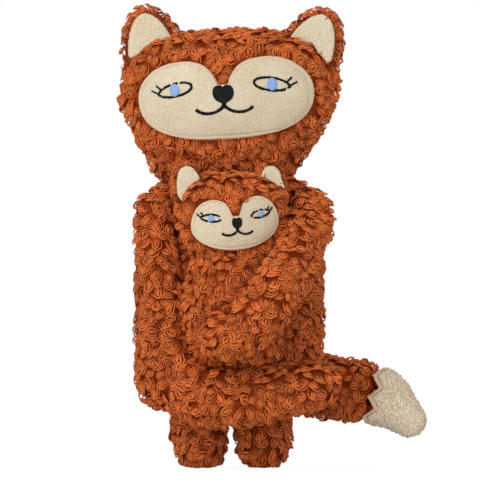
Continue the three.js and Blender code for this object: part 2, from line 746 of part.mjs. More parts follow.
// The origin is on the floor, under the middle of the whole toy
const extent = new THREE.Box3().setFromObject(fox, true);
const centre = extent.getCenter(new THREE.Vector3());
fox.position.set(-centre.x, -centre.y, -extent.min.z);
fox.updateMatrixWorld(true);

export default fox;
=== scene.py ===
"""Plush fox that hugs a smaller fox: the visible model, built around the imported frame."""
import json
import logging
import math
from dataclasses import dataclass, field, replace
from enum import Enum
from typing import Callable, Sequence

import bpy
import numpy as np
from mathutils import Matrix, Vector
from mathutils.bvhtree import BVHTree


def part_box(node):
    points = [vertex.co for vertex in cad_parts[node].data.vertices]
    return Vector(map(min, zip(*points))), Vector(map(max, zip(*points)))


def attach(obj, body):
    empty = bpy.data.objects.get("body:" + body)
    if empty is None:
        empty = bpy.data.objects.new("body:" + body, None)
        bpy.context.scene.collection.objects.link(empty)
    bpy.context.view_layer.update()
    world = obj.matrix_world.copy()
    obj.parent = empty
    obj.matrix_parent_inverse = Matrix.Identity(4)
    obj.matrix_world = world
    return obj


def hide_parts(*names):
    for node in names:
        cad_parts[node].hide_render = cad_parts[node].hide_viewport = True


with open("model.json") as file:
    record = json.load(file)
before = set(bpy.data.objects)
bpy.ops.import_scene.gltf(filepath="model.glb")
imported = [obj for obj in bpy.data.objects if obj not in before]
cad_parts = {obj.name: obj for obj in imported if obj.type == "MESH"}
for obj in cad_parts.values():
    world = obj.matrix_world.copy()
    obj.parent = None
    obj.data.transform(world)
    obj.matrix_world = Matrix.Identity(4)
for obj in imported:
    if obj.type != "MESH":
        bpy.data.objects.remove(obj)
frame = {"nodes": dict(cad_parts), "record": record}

logging.basicConfig(level=logging.INFO, format="%(message)s")
log = logging.getLogger("plush")

MM = 0.001
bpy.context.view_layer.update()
# The legs stand evenly about the middle of the toy, their own middle 3.5 mm behind it
LEFT_LEG, RIGHT_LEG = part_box("mother_left_leg"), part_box("mother_right_leg")
SHIFT = Vector(((LEFT_LEG[0][0] + RIGHT_LEG[1][0]) / 2 / MM,
                (RIGHT_LEG[0][1] + RIGHT_LEG[1][1]) / 2 / MM - 3.5, 0.0))

Point2 = tuple[float, float]
Array = np.ndarray


# ---------------------------------------------------------------- small tools


def linear(code: str) -> tuple[float, float, float, float]:
    """An sRGB hex colour as linear values.

    Args:
        code: six hex digits.

    Returns:
        Red, green, blue and an alpha of 1.
    """
    parts = [int(code[i:i + 2], 16) / 255 for i in (0, 2, 4)]
    red, green, blue = (
        p / 12.92 if p <= 0.04045 else ((p + 0.055) / 1.055) ** 2.4 for p in parts
    )
    return red, green, blue, 1.0


def toy(x: float, y: float, z: float) -> Vector:
    """A place in the CAD source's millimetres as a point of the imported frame, in metres."""
    return (Vector((x, y, z)) + SHIFT) * MM


def body_of(node: str) -> str:
    """The CAD body that holds a node."""
    bodies = frame["record"]["behaviour"]["bodies"]
    return next(body for body, nodes in bodies.items() if node in nodes)


def deselect() -> None:
    """Leaves nothing selected, so that an operator acts on the new piece alone."""
    for thing in bpy.context.selected_objects:
        thing.select_set(False)


def activate(*pieces: bpy.types.Object) -> None:
    """Makes some pieces the only selected ones and the first of them the active one.

    Args:
        *pieces: the pieces.
    """
    deselect()
    for piece in pieces:
        piece.select_set(True)
    bpy.context.view_layer.objects.active = pieces[0]


def apply_all(piece: bpy.types.Object) -> None:
    """Applies every modifier of a piece, in order.

    Args:
        piece: the piece.
    """
    activate(piece)
    for name in [m.name for m in piece.modifiers]:
        bpy.ops.object.modifier_apply(modifier=name)


def linked(name: str, data: bpy.types.ID) -> bpy.types.Object:
    """Makes an object and links it to the scene.

    Args:
        name: its name.
        data: its mesh, light or camera.

    Returns:
        The object.
    """
    thing = bpy.data.objects.new(name, data)
    bpy.context.scene.collection.objects.link(thing)
    return thing


def joined(name: str, pieces: Sequence[bpy.types.Object]) -> bpy.types.Object:
    """Joins several pieces to the first of them.

    Args:
        name: the name of the whole.
        pieces: the pieces.

    Returns:
        The whole.
    """
    activate(*pieces)
    bpy.ops.object.join()
    whole = bpy.context.active_object
    whole.name = name
    whole.data.name = name
    return whole


def turn_outward(piece: bpy.types.Object, merge_mm: float = 0.0) -> None:
    """Turns the faces of a piece outward.

    Args:
        piece: the piece.
        merge_mm: how near points are that are merged first, or 0 for none.
    """
    activate(piece)
    bpy.ops.object.mode_set(mode="EDIT")
    bpy.ops.mesh.select_all(action="SELECT")
    if merge_mm:
        bpy.ops.mesh.remove_doubles(threshold=merge_mm * MM)
    bpy.ops.mesh.normals_make_consistent(inside=False)
    bpy.ops.object.mode_set(mode="OBJECT")


def points_of(piece: bpy.types.Object, what: str = "co") -> Array:
    """Reads the vertices of a piece.

    Args:
        piece: the piece.
        what: "co" for their points or "normal" for their normals.

    Returns:
        A row for each vertex.
    """
    rows = np.zeros(len(piece.data.vertices) * 3, np.float32)
    piece.data.vertices.foreach_get(what, rows)
    return rows.reshape(-1, 3).astype(float)


def place_points(piece: bpy.types.Object, points: Array) -> None:
    """Moves every vertex of a piece to its new point."""
    piece.data.vertices.foreach_set("co", points.astype(np.float32).ravel())
    piece.data.update()


def unit(rows: Array) -> Array:
    """Rows of an array at length one."""
    return rows / np.maximum(np.linalg.norm(rows, axis=-1, keepdims=True), 1e-12)


def tree_of(*pieces: bpy.types.Object) -> BVHTree:
    """Makes one search tree over the faces of several pieces.

    Args:
        *pieces: the pieces.

    Returns:
        The tree.
    """
    corners: list[Vector] = []
    faces: list[tuple[int, ...]] = []
    for piece in pieces:
        start = len(corners)
        corners.extend(v.co.copy() for v in piece.data.vertices)
        faces.extend(tuple(start + i for i in f.vertices) for f in piece.data.polygons)
    return BVHTree.FromPolygons(corners, faces)


def even_copy(node: str, name: str, voxel_mm: float) -> bpy.types.Object:
    """A new piece with the mesh of a CAD node, remeshed, left where the node is.

    Args:
        node: the CAD node.
        name: the name of the new piece.
        voxel_mm: the size of its faces.

    Returns:
        The piece.
    """
    mesh = frame["nodes"][node].data.copy()
    mesh.name = name
    mesh.materials.clear()
    piece = linked(name, mesh)
    turn_outward(piece, 0.02)
    remesh = piece.modifiers.new("even", "REMESH")
    remesh.mode = "VOXEL"
    remesh.voxel_size = voxel_mm * MM
    apply_all(piece)
    return piece


def ease(piece: bpy.types.Object, rounds: int) -> None:
    """Rounds a piece off.

    Args:
        piece: the piece.
        rounds: how many times it is smoothed a little.
    """
    modifier = piece.modifiers.new("round", "SMOOTH")
    modifier.factor = 0.5
    modifier.iterations = rounds
    apply_all(piece)


# ---------------------------------------------------------------- finishes


def add_node(tree: bpy.types.NodeTree, kind: str, links: dict | None = None,
             values: dict | None = None, stops: Sequence[tuple[float, str]] = (),
             **settings: object) -> bpy.types.Node:
    """Adds a shader node with its settings, values and links.

    Args:
        tree: the node tree.
        kind: the node's type.
        links: the output socket that feeds each input.
        values: the value of each other input.
        stops: a colour ramp's pairs of place and hex colour.
        **settings: the node's own properties.

    Returns:
        The node.
    """
    node = tree.nodes.new(kind)
    for key, value in settings.items():
        setattr(node, key, value)
    for key, value in (values or {}).items():
        node.inputs[key].default_value = value
    for key, socket in (links or {}).items():
        tree.links.new(socket, node.inputs[key])
    if stops:
        places = node.color_ramp.elements
        while len(places) < len(stops):
            places.new(0.5)
        for place, (at, code) in zip(places, stops):
            place.position = at
            place.color = linear(code)
    return node


def new_finish(name: str, **shader: object) -> tuple[bpy.types.Material, bpy.types.NodeTree,
                                                     bpy.types.Node]:
    """A new material with its shader's plain values set.

    Args:
        name: the material's name.
        **shader: values of the shader's sockets, with spaces written as underscores.

    Returns:
        The material, its node tree and its shader node.
    """
    material = bpy.data.materials.new(name)
    material.use_nodes = True
    tree = material.node_tree
    surface = next(n for n in tree.nodes if n.type == "BSDF_PRINCIPLED")
    for key, value in shader.items():
        surface.inputs[key.replace("_", " ")].default_value = value
    return material, tree, surface


def draw_on(surface: bpy.types.Node, colour: bpy.types.NodeSocket,
            height: bpy.types.NodeSocket, strength: float, depth_mm: float,
            invert: bool = False) -> None:
    """Gives a shader its drawn colour and relief.

    Args:
        surface: the shader node.
        colour: the socket that draws the colour.
        height: the socket that draws the relief.
        strength: how strong the relief is.
        depth_mm: how deep it is.
        invert: whether high values lie low.
    """
    tree = surface.id_data
    bump = add_node(tree, "ShaderNodeBump", {"Height": height},
                    {"Strength": strength, "Distance": depth_mm * MM}, invert=invert)
    tree.links.new(colour, surface.inputs["Base Color"])
    tree.links.new(bump.outputs["Normal"], surface.inputs["Normal"])


@dataclass(frozen=True)
class LoopedYarn:
    """Soft-spun acrylic yarn in a rust dye, in tufted loops: matt and warm, with painted shade
    low in the pile and on each strand's underside, and painted light at the tips.
    """

    name: str = "looped_acrylic_yarn"
    # Painted shade at the root and deep stops, the rust in the body, painted light at the tip
    root: str = "5C1F08"
    deep: str = "A64213"
    body: str = "D76527"
    tip: str = "EA8448"
    twist_mm: float = 0.8

    def make(self) -> bpy.types.Material:
        """Builds the material, which reads the loops' own height, tone and length along.

        Returns:
            The material.
        """
        material, tree, surface = new_finish(
            self.name, Roughness=0.86, Specular_IOR_Level=0.2, Sheen_Weight=0.14,
            Sheen_Roughness=0.45, Sheen_Tint=linear("E8A070"))
        height = add_node(tree, "ShaderNodeAttribute", attribute_name="loop_painted_shade")
        tone = add_node(tree, "ShaderNodeAttribute", attribute_name="loop_tone")
        # Over the rust dye, the ramp paints shade low in the pile and light on the high tips
        dye_and_painted_shade = add_node(tree, "ShaderNodeValToRGB", {"Fac": height.outputs["Fac"]}, stops=[
            (0.0, self.root), (0.25, self.deep), (0.6, self.body), (1.0, self.tip)])
        shade = add_node(tree, "ShaderNodeMapRange", {"Value": tone.outputs["Fac"]},
                         {"To Min": 0.8, "To Max": 1.14})
        varied = add_node(tree, "ShaderNodeHueSaturation", {"Color": dye_and_painted_shade.outputs["Color"],
                                                            "Value": shade.outputs["Result"]})
        # The two plies turn round each other: slanting ridges along each loop's own length
        along = add_node(tree, "ShaderNodeUVMap", uv_map="Strand")
        plies = add_node(tree, "ShaderNodeTexWave", {"Vector": along.outputs["UV"]},
                         {"Scale": 1.0 / self.twist_mm, "Distortion": 1.5, "Detail": 1.0},
                         wave_type="BANDS", bands_direction="DIAGONAL")
        draw_on(surface, varied.outputs["Color"], plies.outputs["Fac"], 0.5, 0.2)
        return material


@dataclass(frozen=True)
class BackingCloth:
    """Knitted polyester backing behind the loops: dull, dark between the tufts."""

    name: str = "knitted_backing"
    dark: str = "6E290B"
    light: str = "A04216"
    stitch_mm: float = 1.6

    def make(self) -> bpy.types.Material:
        """Builds the material on object coordinates.

        Returns:
            The material.
        """
        material, tree, surface = new_finish(self.name, Roughness=0.95, Specular_IOR_Level=0.1)
        place = add_node(tree, "ShaderNodeTexCoord")
        cells = add_node(tree, "ShaderNodeTexVoronoi", {"Vector": place.outputs["Object"]},
                         {"Scale": 1.0 / (self.stitch_mm * MM)})
        colour = add_node(tree, "ShaderNodeValToRGB", {"Fac": cells.outputs["Distance"]},
                          stops=[(0.0, self.light), (0.7, self.dark)])
        draw_on(surface, colour.outputs["Color"], cells.outputs["Distance"], 0.6, 0.5, True)
        return material


@dataclass(frozen=True)
class Terry:
    """Short cotton terry: a grain of tiny loops, matt, with pulled rows and a faint nap."""

    name: str
    light: str = "E8DEC9"
    body: str = "DED1B9"
    dark: str = "C8B797"
    loop_mm: float = 0.95
    row_mm: float = 1.5
    grain: float = 0.5

    def make(self) -> bpy.types.Material:
        """Builds the material on object coordinates.

        Returns:
            The material.
        """
        material, tree, surface = new_finish(
            self.name, Roughness=0.93, Specular_IOR_Level=0.15, Sheen_Weight=0.25,
            Sheen_Roughness=0.4, Sheen_Tint=linear("FFF4DF"))
        place = {"Vector": add_node(tree, "ShaderNodeTexCoord").outputs["Object"]}
        loops = add_node(tree, "ShaderNodeTexVoronoi", place,
                         {"Scale": 1.0 / (self.loop_mm * MM), "Randomness": 0.9})
        rows = add_node(tree, "ShaderNodeTexWave", place,
                        {"Scale": 0.32 / (self.row_mm * MM), "Distortion": 1.6, "Detail": 2.0,
                         "Detail Scale": 1.6}, wave_type="BANDS", bands_direction="X")
        pulled = add_node(tree, "ShaderNodeMath",
                          {0: rows.outputs["Fac"], 2: loops.outputs["Distance"]}, {1: 0.22},
                          operation="MULTIPLY_ADD")
        blotches = add_node(tree, "ShaderNodeTexNoise", place, {"Scale": 45.0, "Detail": 3.0})
        pile = add_node(tree, "ShaderNodeValToRGB", {"Fac": pulled.outputs[0]}, stops=[
            (0.1, self.light), (0.5, self.body), (1.0, self.dark)])
        stain = add_node(tree, "ShaderNodeValToRGB", {"Fac": blotches.outputs["Fac"]},
                         stops=[(0.3, "EFE8DA"), (0.7, "FFFFFF")])
        cloth = add_node(tree, "ShaderNodeMix",
                         {6: pile.outputs["Color"], 7: stain.outputs["Color"]}, {0: 0.6},
                         data_type="RGBA", blend_type="MULTIPLY")
        draw_on(surface, cloth.outputs[2], pulled.outputs[0], self.grain, 0.4, True)
        return material


@dataclass(frozen=True)
class StitchedThread:
    """Rayon embroidery thread laid side by side: a soft gloss along fine ridges."""

    name: str
    body: str
    dark: str
    thread_mm: float
    direction: str
    gloss: float
    nap: float = 0.15

    def make(self) -> bpy.types.Material:
        """Builds the material on object coordinates.

        Returns:
            The material.
        """
        material, tree, surface = new_finish(
            self.name, Roughness=1.0 - self.gloss, Specular_IOR_Level=self.gloss / 2,
            Sheen_Weight=self.nap)
        place = add_node(tree, "ShaderNodeTexCoord")
        threads = add_node(tree, "ShaderNodeTexWave", {"Vector": place.outputs["Object"]},
                           {"Scale": 0.31 / (self.thread_mm * MM), "Distortion": 1.2,
                            "Detail": 1.0}, wave_type="BANDS", bands_direction=self.direction)
        colour = add_node(tree, "ShaderNodeValToRGB", {"Fac": threads.outputs["Fac"]},
                          stops=[(0.1, self.dark), (0.7, self.body)])
        draw_on(surface, colour.outputs["Color"], threads.outputs["Fac"], 0.5, 0.2)
        return material


class Slot(Enum):
    """The record's material slots."""

    PILE = "looped_yarn_pile"
    TERRY = "cream_terry"
    TAPE = "seam_tape"
    BLACK = "black_thread"
    BLUE = "blue_thread"


YARN = LoopedYarn().make()
BACKING = BackingCloth().make()
FACE_TERRY = Terry("cotton_terry").make()
TIP_TERRY = Terry("knitted_terry_tip", "FFFAEE", "F8EDD8", "EBDCC0", 1.6, 2.2).make()
TAPE = StitchedThread("cotton_seam_tape", "E9CFB4", "D8B595", 0.8, "Z", 0.15).make()
BLACK = StitchedThread("black_rayon_thread", "0E0E11", "050506", 0.5, "X", 0.35, 0.0).make()
BLUE = StitchedThread("blue_rayon_thread", "93B6EA", "7A9FD8", 0.5, "Z", 0.45).make()


def settle(piece: bpy.types.Object, body: str, finish: bpy.types.Material, slot: Slot,
           nodes: Sequence[str] = (), fill: float | None = None) -> bpy.types.Object:
    """Gives a finished piece its material and smooth faces, attaches it to its body and hides the
    CAD nodes that it stands for.

    Args:
        piece: the piece, in place.
        body: the CAD body that it rides on.
        finish: its material.
        slot: the record's slot of that material; not used.
        nodes: the CAD nodes that it stands for.
        fill: how full a stuffed piece is, or None for one that isn't stuffed; not used.

    Returns:
        The piece.
    """
    piece.data.materials.clear()
    piece.data.materials.append(finish)
    piece.data.polygons.foreach_set("use_smooth", [True] * len(piece.data.polygons))
    piece.data.update()
    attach(piece, body)
    if nodes:
        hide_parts(*nodes)
    log.info("%s: %d faces on %s", piece.name, len(piece.data.polygons), body)
    return piece


# ---------------------------------------------------------------- stuffed covers


@dataclass(frozen=True)
class Cut:
    """How the covers of one size are made, and the pile that they carry."""

    voxel_mm: float
    inset_mm: float
    rounding: int
    pitch_mm: float
    keep_off_mm: float = 1.1
    fill: float = 0.8
    lumps_mm: float = 0.8
    cap_mm: float = 1.6


BIG = Cut(4.0, 1.0, 6, 5.1)
LEG = replace(BIG, inset_mm=2.2, rounding=14)
SMALL = Cut(2.6, 1.0, 4, 4.5, lumps_mm=0.4)
EAR = Cut(1.4, 0.7, 3, 4.2, 1.7, 0.5, 0.2, 0.0)
SMALL_EAR = replace(EAR, pitch_mm=3.6, keep_off_mm=1.6)

CUTS = {
    "mother_body": BIG, "mother_head": BIG, "mother_left_arm": BIG, "mother_right_arm": BIG,
    "mother_left_leg": LEG, "mother_right_leg": LEG, "tail": BIG,
    "baby_body": SMALL, "baby_head": SMALL, "mother_left_ear": EAR, "mother_right_ear": EAR,
    "baby_left_ear": SMALL_EAR, "baby_right_ear": SMALL_EAR,
}


@dataclass
class Cover:
    """A stuffed cover: the CAD solid rounded off and pressed in to where the loops root."""

    node: str
    body: str
    cut: Cut
    pressure: float = 4.0
    frames: int = 20
    piece: bpy.types.Object = field(init=False)

    def stuff(self) -> None:
        """Fills the cover: a short pressure simulation, with each point's way capped."""
        piece, cap = self.piece, self.cut.cap_mm
        place_points(piece, points_of(piece) - points_of(piece, "normal") * cap / 2 * MM)
        start = points_of(piece)
        cloth = piece.modifiers.new("filling", "CLOTH")
        cloth.settings.quality = 4
        cloth.settings.use_pressure = True
        cloth.settings.uniform_pressure_force = self.pressure
        cloth.settings.effector_weights.gravity = 0.0
        for step in range(1, self.frames + 1):
            bpy.context.scene.frame_set(step)
        apply_all(piece)
        bpy.context.scene.frame_set(1)
        way = points_of(piece) - start
        far = np.linalg.norm(way, axis=1, keepdims=True) / (cap * MM)
        place_points(piece, start + way / np.maximum(1, far))

    def build(self) -> None:
        """Remeshes a copy of the node, stuffs it, rounds it, lumps it and insets it."""
        cut = self.cut
        self.piece = piece = even_copy(self.node, f"{self.node}_cover", cut.voxel_mm)
        if cut.cap_mm:
            self.stuff()
        ease(piece, cut.rounding)
        points, normals = points_of(piece), points_of(piece, "normal")
        # Slow waves, 30 to 47 mm long, stand for the lumps of the filling
        lump = (np.sin(points[:, 0] * 211 + 1) * np.sin(points[:, 2] * 187)
                + np.sin(points[:, 1] * 171 + points[:, 2] * 133))
        shift = (lump * cut.lumps_mm / 2 - cut.inset_mm) * MM
        place_points(piece, points + normals * shift[:, None])


# ---------------------------------------------------------------- the pile


class LoopKind(Enum):
    """The shapes that a tuft of loops takes."""

    KNUCKLE = 0
    PETAL = 1
    ROUND = 2
    STRAY = 3
    TERRY = 4


@dataclass(frozen=True)
class TuftMesh:
    """A modelled tuft, ready to be copied."""

    points: Array
    faces: Array
    strand_map: Array
    height: Array
    tone: Array


@dataclass(frozen=True)
class LoopShape:
    """One tuft, in millimetres: strands nested in each other, rooted at one end."""

    half_wide: float
    half_long: float
    strands: int
    lift: float
    dome: float
    strand: float = 0.5
    gap: float = 1.02
    looseness: float = 0.28
    turns: int = 8
    crowd: float = 0.22
    root_share: float = 0.75
    torus: float = 0.1
    slant_spread: float = 0.14
    tone_spread: float = 0.16

    def ring(self, i: int, rng: np.random.Generator) -> tuple[bpy.types.Object, Array, Array]:
        """Models one strand from a torus, a little out of line.

        Args:
            i: which strand, counted from the outer one.
            rng: the seeded source of random numbers.

        Returns:
            The strand, its points' tone, and how near to its crest each of them is.
        """
        wide = max(self.half_wide - i * self.gap, self.strand * 0.7)
        long = max(self.half_long - i * self.gap * 0.92, 1.2)
        deselect()
        bpy.ops.mesh.primitive_torus_add(
            major_segments=self.turns, minor_segments=3, major_radius=1.0,
            minor_radius=self.torus, generate_uvs=True)
        ring = bpy.context.active_object
        points = points_of(ring)
        angle = np.arctan2(points[:, 1], points[:, 0])
        out = np.stack([np.cos(angle), np.sin(angle)], 1)
        off = np.stack([np.linalg.norm(points[:, :2], axis=1) - 1, points[:, 2]], 1)
        off *= self.strand / self.torus
        flat = out * [wide, long] * rng.uniform(0.94, 1.06)
        points[:, :2] = flat + unit(out * [long, wide]) * off[:, :1]
        slant = rng.normal(0, self.slant_spread)
        points[:, 0] += points[:, 1] * slant + rng.normal(0, self.looseness)
        points[:, 1] += self.half_long + i * self.crowd + rng.normal(0, self.looseness)
        share = np.clip(points[:, 1] / (2 * self.half_long), 0, 1)
        points[:, 0] *= self.root_share + (1 - self.root_share) * np.sin(share * math.pi / 2)
        edge = (points[:, 0] / self.half_wide) ** 2
        wave = np.sin(angle * 2 + rng.uniform(0, 6.3)) * self.looseness
        points[:, 2] = (off[:, 1] + self.lift * np.sin(share * math.pi * 0.62) - 0.5 + wave
                        + self.dome * i - self.dome * 2.2 * edge)
        place_points(ring, points)
        return (ring, np.full(len(points), rng.normal(0, self.tone_spread)),
                np.clip(off[:, 1] / self.strand * 0.55 + 0.45, 0, 1))

    def model(self, rng: np.random.Generator) -> TuftMesh:
        """Models the tuft, strand by strand.

        Args:
            rng: the seeded source of random numbers.

        Returns:
            The tuft's arrays.
        """
        rings, tones, crests = zip(*[self.ring(i, rng) for i in range(self.strands)])
        tuft = joined("tuft", rings)
        mesh = tuft.data
        points = points_of(tuft)
        corners = np.zeros(len(mesh.loops), np.int32)
        mesh.loops.foreach_get("vertex_index", corners)
        strand_map = np.zeros(len(mesh.loops) * 2, np.float32)
        mesh.uv_layers.active.data.foreach_get("uv", strand_map)
        # Painted shade: dark where a point lies low in the tuft, and where it lies low on its own
        # strand
        height = np.clip((points[:, 2] + 0.4) / (self.lift + self.dome * 2 + 0.4), 0, 1)
        height = 0.62 * height + 0.38 * np.concatenate(crests)
        bpy.data.objects.remove(tuft)
        return TuftMesh(points - [0, self.half_long, 0], corners.reshape(-1, 4),
                        strand_map.reshape(-1, 2), height, np.concatenate(tones))


SHAPES = {
    LoopKind.KNUCKLE: LoopShape(4.9, 5.2, 5, 3.0, 0.3, gap=1.13),
    LoopKind.PETAL: LoopShape(3.8, 5.9, 4, 3.5, 0.3, gap=1.14),
    LoopKind.ROUND: LoopShape(4.4, 4.6, 5, 2.7, 0.4, gap=1.0),
    LoopKind.STRAY: LoopShape(2.0, 3.9, 2, 2.6, 0.2, 0.4, 0.7, 0.5),
    LoopKind.TERRY: LoopShape(0.75, 0.95, 1, 1.3, 0.1, 0.36, looseness=0.12, turns=6),
}


@dataclass
class Tufts:
    """The modelled tufts, a few of each kind, made once and copied all over the covers."""

    of_each: int = 4
    seed: int = 3
    made: dict[LoopKind, list[TuftMesh]] = field(default_factory=dict)

    def build(self) -> None:
        """Models the tufts of each kind."""
        rng = np.random.default_rng(self.seed)
        self.made = {kind: [shape.model(rng) for _ in range(self.of_each)]
                     for kind, shape in SHAPES.items()}


@dataclass(frozen=True)
class Places:
    """Where the tufts of one cover lie: a row of each array for each tuft."""

    spots: Array
    axes: Array
    size: Array
    lift: Array
    shade: Array
    tone: Array
    kind: Array
    which: Array


# How low a normal points where a pile is pressed from the side too: nowhere, on the underside
# of a piece, or all over
NOWHERE, UNDERSIDE, ALL_OVER = -2.0, -0.35, 2.0


@dataclass(frozen=True)
class Neighbour:
    """Covers that lie against a pile, or do so as a limb moves, seen from the pile's body.

    Tufts whose normal points lower than around are pressed by what lies beside them too.
    """

    tree: BVHTree
    place: Matrix
    share: float
    around: float = NOWHERE
    room_mm: float = 5.5
    reach_mm: float = 6.5
    behind_mm: float = 3.0
    least: float = 0.2

    def lift(self, at: Vector, out: Vector) -> float:
        """How much of its height a tuft keeps beside the neighbour.

        Args:
            at: the tuft's place.
            out: the cover's normal there.

        Returns:
            The share of its height.
        """
        beside = out.z < self.around
        at, out = self.place @ at, self.place.to_3x3() @ out
        reach, back = self.reach_mm / self.share, self.behind_mm
        hit = self.tree.ray_cast(at - out * back * MM, out, (back + reach) * MM)[3]
        gaps = [reach if hit is None else hit / MM - back]
        if beside:
            near = self.tree.find_nearest(at, reach * MM)[3]
            gaps.append(reach if near is None else near / MM)
        return max(self.least, min(1.0, min(gaps) * self.share / self.room_mm))


@dataclass
class Pile:
    """The loops on one cover."""

    ground: bpy.types.Object
    name: str
    tufts: Tufts
    seed: int
    pitch_mm: float
    scale: float = 1.0
    keep_off: BVHTree | None = None
    keep_off_mm: float = 1.1
    beside_mm: float = 5.5
    neighbours: tuple[Neighbour, ...] = ()
    stray_share: float = 0.04
    mix: tuple[tuple[float, LoopKind], ...] = (
        (0.4, LoopKind.KNUCKLE), (0.75, LoopKind.PETAL), (1.0, LoopKind.ROUND))
    most: int = 850
    tries: int = 9
    crease_mm: float = 10.0
    crease_power: float = 1.3
    loose_share: float = 0.22
    turn_spread: float = 0.7
    beside_turn: float = 0.15
    stray_lift: float = 2.0
    underfoot_mm: float = 3.0
    yarn_mm: float = 24.0

    def sites(self, rng: np.random.Generator) -> tuple[Array, Array]:
        """Picks evenly spread places on the cover.

        Args:
            rng: the seeded source of random numbers.

        Returns:
            The places and the cover's normals there.
        """
        mesh = self.ground.data
        mesh.calc_loop_triangles()
        corner = np.zeros(len(mesh.loop_triangles) * 3, np.int32)
        mesh.loop_triangles.foreach_get("vertices", corner)
        points, normals = points_of(self.ground), points_of(self.ground, "normal")
        corner = corner.reshape(-1, 3)
        a, b, c = (points[corner[:, i]] for i in range(3))
        area = np.linalg.norm(np.cross(b - a, c - a), axis=1) / 2
        pitch = self.pitch_mm * MM
        tries = int(area.sum() / pitch ** 2 * self.tries)
        pick = rng.choice(len(area), tries, p=area / area.sum())
        u, v = rng.random(tries), rng.random(tries)
        over = u + v > 1
        u[over], v[over] = 1 - u[over], 1 - v[over]
        w = 1 - u - v
        spots = a[pick] * w[:, None] + b[pick] * u[:, None] + c[pick] * v[:, None]
        na, nb, nc = (normals[corner[pick, i]] for i in range(3))
        facing = unit(na * w[:, None] + nb * u[:, None] + nc * v[:, None])
        kept: list[int] = []
        cells: dict[tuple[int, int, int], list[int]] = {}
        keys = np.floor(spots / pitch).astype(int)
        steps = [(i, j, k) for i in (-1, 0, 1) for j in (-1, 0, 1) for k in (-1, 0, 1)]
        for n in range(tries):
            key = tuple(keys[n])
            near = [m for s in steps
                    for m in cells.get((key[0] + s[0], key[1] + s[1], key[2] + s[2]), ())]
            if near:
                gap = spots[near] - spots[n]
                if (np.einsum("ij,ij->i", gap, gap) < pitch ** 2).any():
                    continue
            kept.append(n)
            cells.setdefault(key, []).append(n)
        return spots[kept], facing[kept]

    def build(self) -> list[bpy.types.Object]:
        """Copies tufts to every place, pressed flat where another body lies against them.

        Returns:
            The pile, in as many pieces as its size asks for.
        """
        rng = np.random.default_rng(self.seed)
        spots, facing = self.sites(rng)
        press, shade, keep = self.room(spots, facing)
        spots, facing, press, shade = spots[keep], facing[keep], press[keep], shade[keep]
        count = len(spots)
        down = np.array([0.0, 0.0, -1.0])
        along = unit(down - facing * (facing @ down)[:, None] + 1e-6)
        beside = self.beside(spots, facing, along)
        turn = np.where(rng.random(count) < self.loose_share,
                        rng.uniform(-math.pi, math.pi, count),
                        rng.normal(0, self.turn_spread, count))
        turn *= np.where(beside, self.beside_turn, 1.0)
        side = np.cross(along, facing)
        along = along * np.cos(turn)[:, None] + side * np.sin(turn)[:, None]
        side = np.cross(along, facing)
        # Each loop lies a little open, with its closed end raised
        tilt = rng.normal([-0.2, 0.0], [0.26, 0.2], (count, 2))
        out = unit(facing + along * tilt[:, :1] + side * tilt[:, 1:])
        along = unit(along - out * np.einsum("ij,ij->i", along, out)[:, None])
        axes = np.stack([np.cross(along, out), along, out], 1)
        size = rng.uniform(0.86, 1.16, (count, 1)) * self.scale * rng.uniform(
            0.92, 1.08, (count, 3))
        ends = [share for share, _ in self.mix]
        chosen = np.searchsorted(ends, rng.random(count) * ends[-1])
        kind = np.array([k.value for _, k in self.mix])[chosen]
        # A stray loop stands tall over the tuft that it shares a place with
        stray = np.flatnonzero((rng.random(count) < self.stray_share) & (press > 0.99))
        rows = np.concatenate([np.arange(count), stray])
        places = Places(
            spots[rows], axes[rows], size[rows],
            np.concatenate([press, np.full(len(stray), self.stray_lift)]), shade[rows],
            rng.random(count)[rows],
            np.concatenate([kind, np.full(len(stray), LoopKind.STRAY.value)]),
            rng.integers(0, self.tufts.of_each, count)[rows])
        order = np.argsort(places.spots[:, 2], kind="stable")
        groups = np.array_split(order, math.ceil(len(order) / self.most))
        return [self.lay(f"{self.name}_{i}" if i else self.name, places, group)
                for i, group in enumerate(groups)]

    def lay(self, name: str, places: Places, rows: Array) -> bpy.types.Object:
        """Copies the tufts of some rows into one piece.

        Args:
            name: the piece's name.
            places: where the cover's tufts lie.
            rows: which of them this piece takes.

        Returns:
            The piece.
        """
        points, faces, maps, painted_shades, tones = [], [], [], [], []
        start = 0
        for kind, made in self.tufts.made.items():
            for number, tuft in enumerate(made):
                fits = (places.kind[rows] == kind.value) & (places.which[rows] == number)
                here = rows[fits]
                if not len(here):
                    continue
                local = tuft.points[None] * MM * places.size[here, None]
                local[:, :, 2] *= places.lift[here, None]
                moved = np.einsum("nvi,nij->nvj", local, places.axes[here])
                points.append((moved + places.spots[here, None]).reshape(-1, 3))
                step = np.arange(len(here))[:, None, None] * len(tuft.points) + start
                faces.append((tuft.faces[None] + step).reshape(-1, 4))
                start += len(here) * len(tuft.points)
                maps.append(np.tile(tuft.strand_map, (len(here), 1)))
                # Each tuft's colour takes the painted crease shade along with its height
                painted_shades.append((tuft.height[None] * places.shade[here, None]).ravel())
                tones.append((places.tone[here, None] + tuft.tone[None]).ravel())
        laid = np.concatenate(points)
        # The pile underfoot is pressed flat by the ground
        soft = self.underfoot_mm * MM
        laid[:, 2] = np.where(laid[:, 2] < soft, soft * np.exp(laid[:, 2] / soft - 1),
                              laid[:, 2])
        piece = mesh_piece(name, laid, np.concatenate(faces))
        # The map runs along the yarn in millimetres
        layer = piece.data.uv_layers.new(name="Strand")
        strand_map = np.concatenate(maps) * [self.yarn_mm, 1.0]
        layer.data.foreach_set("uv", strand_map.astype(np.float32).ravel())
        for attribute, values in (("loop_painted_shade", painted_shades), ("loop_tone", tones)):
            stored = piece.data.attributes.new(attribute, "FLOAT", "POINT")
            stored.data.foreach_set("value", np.concatenate(values).astype(np.float32))
        return piece

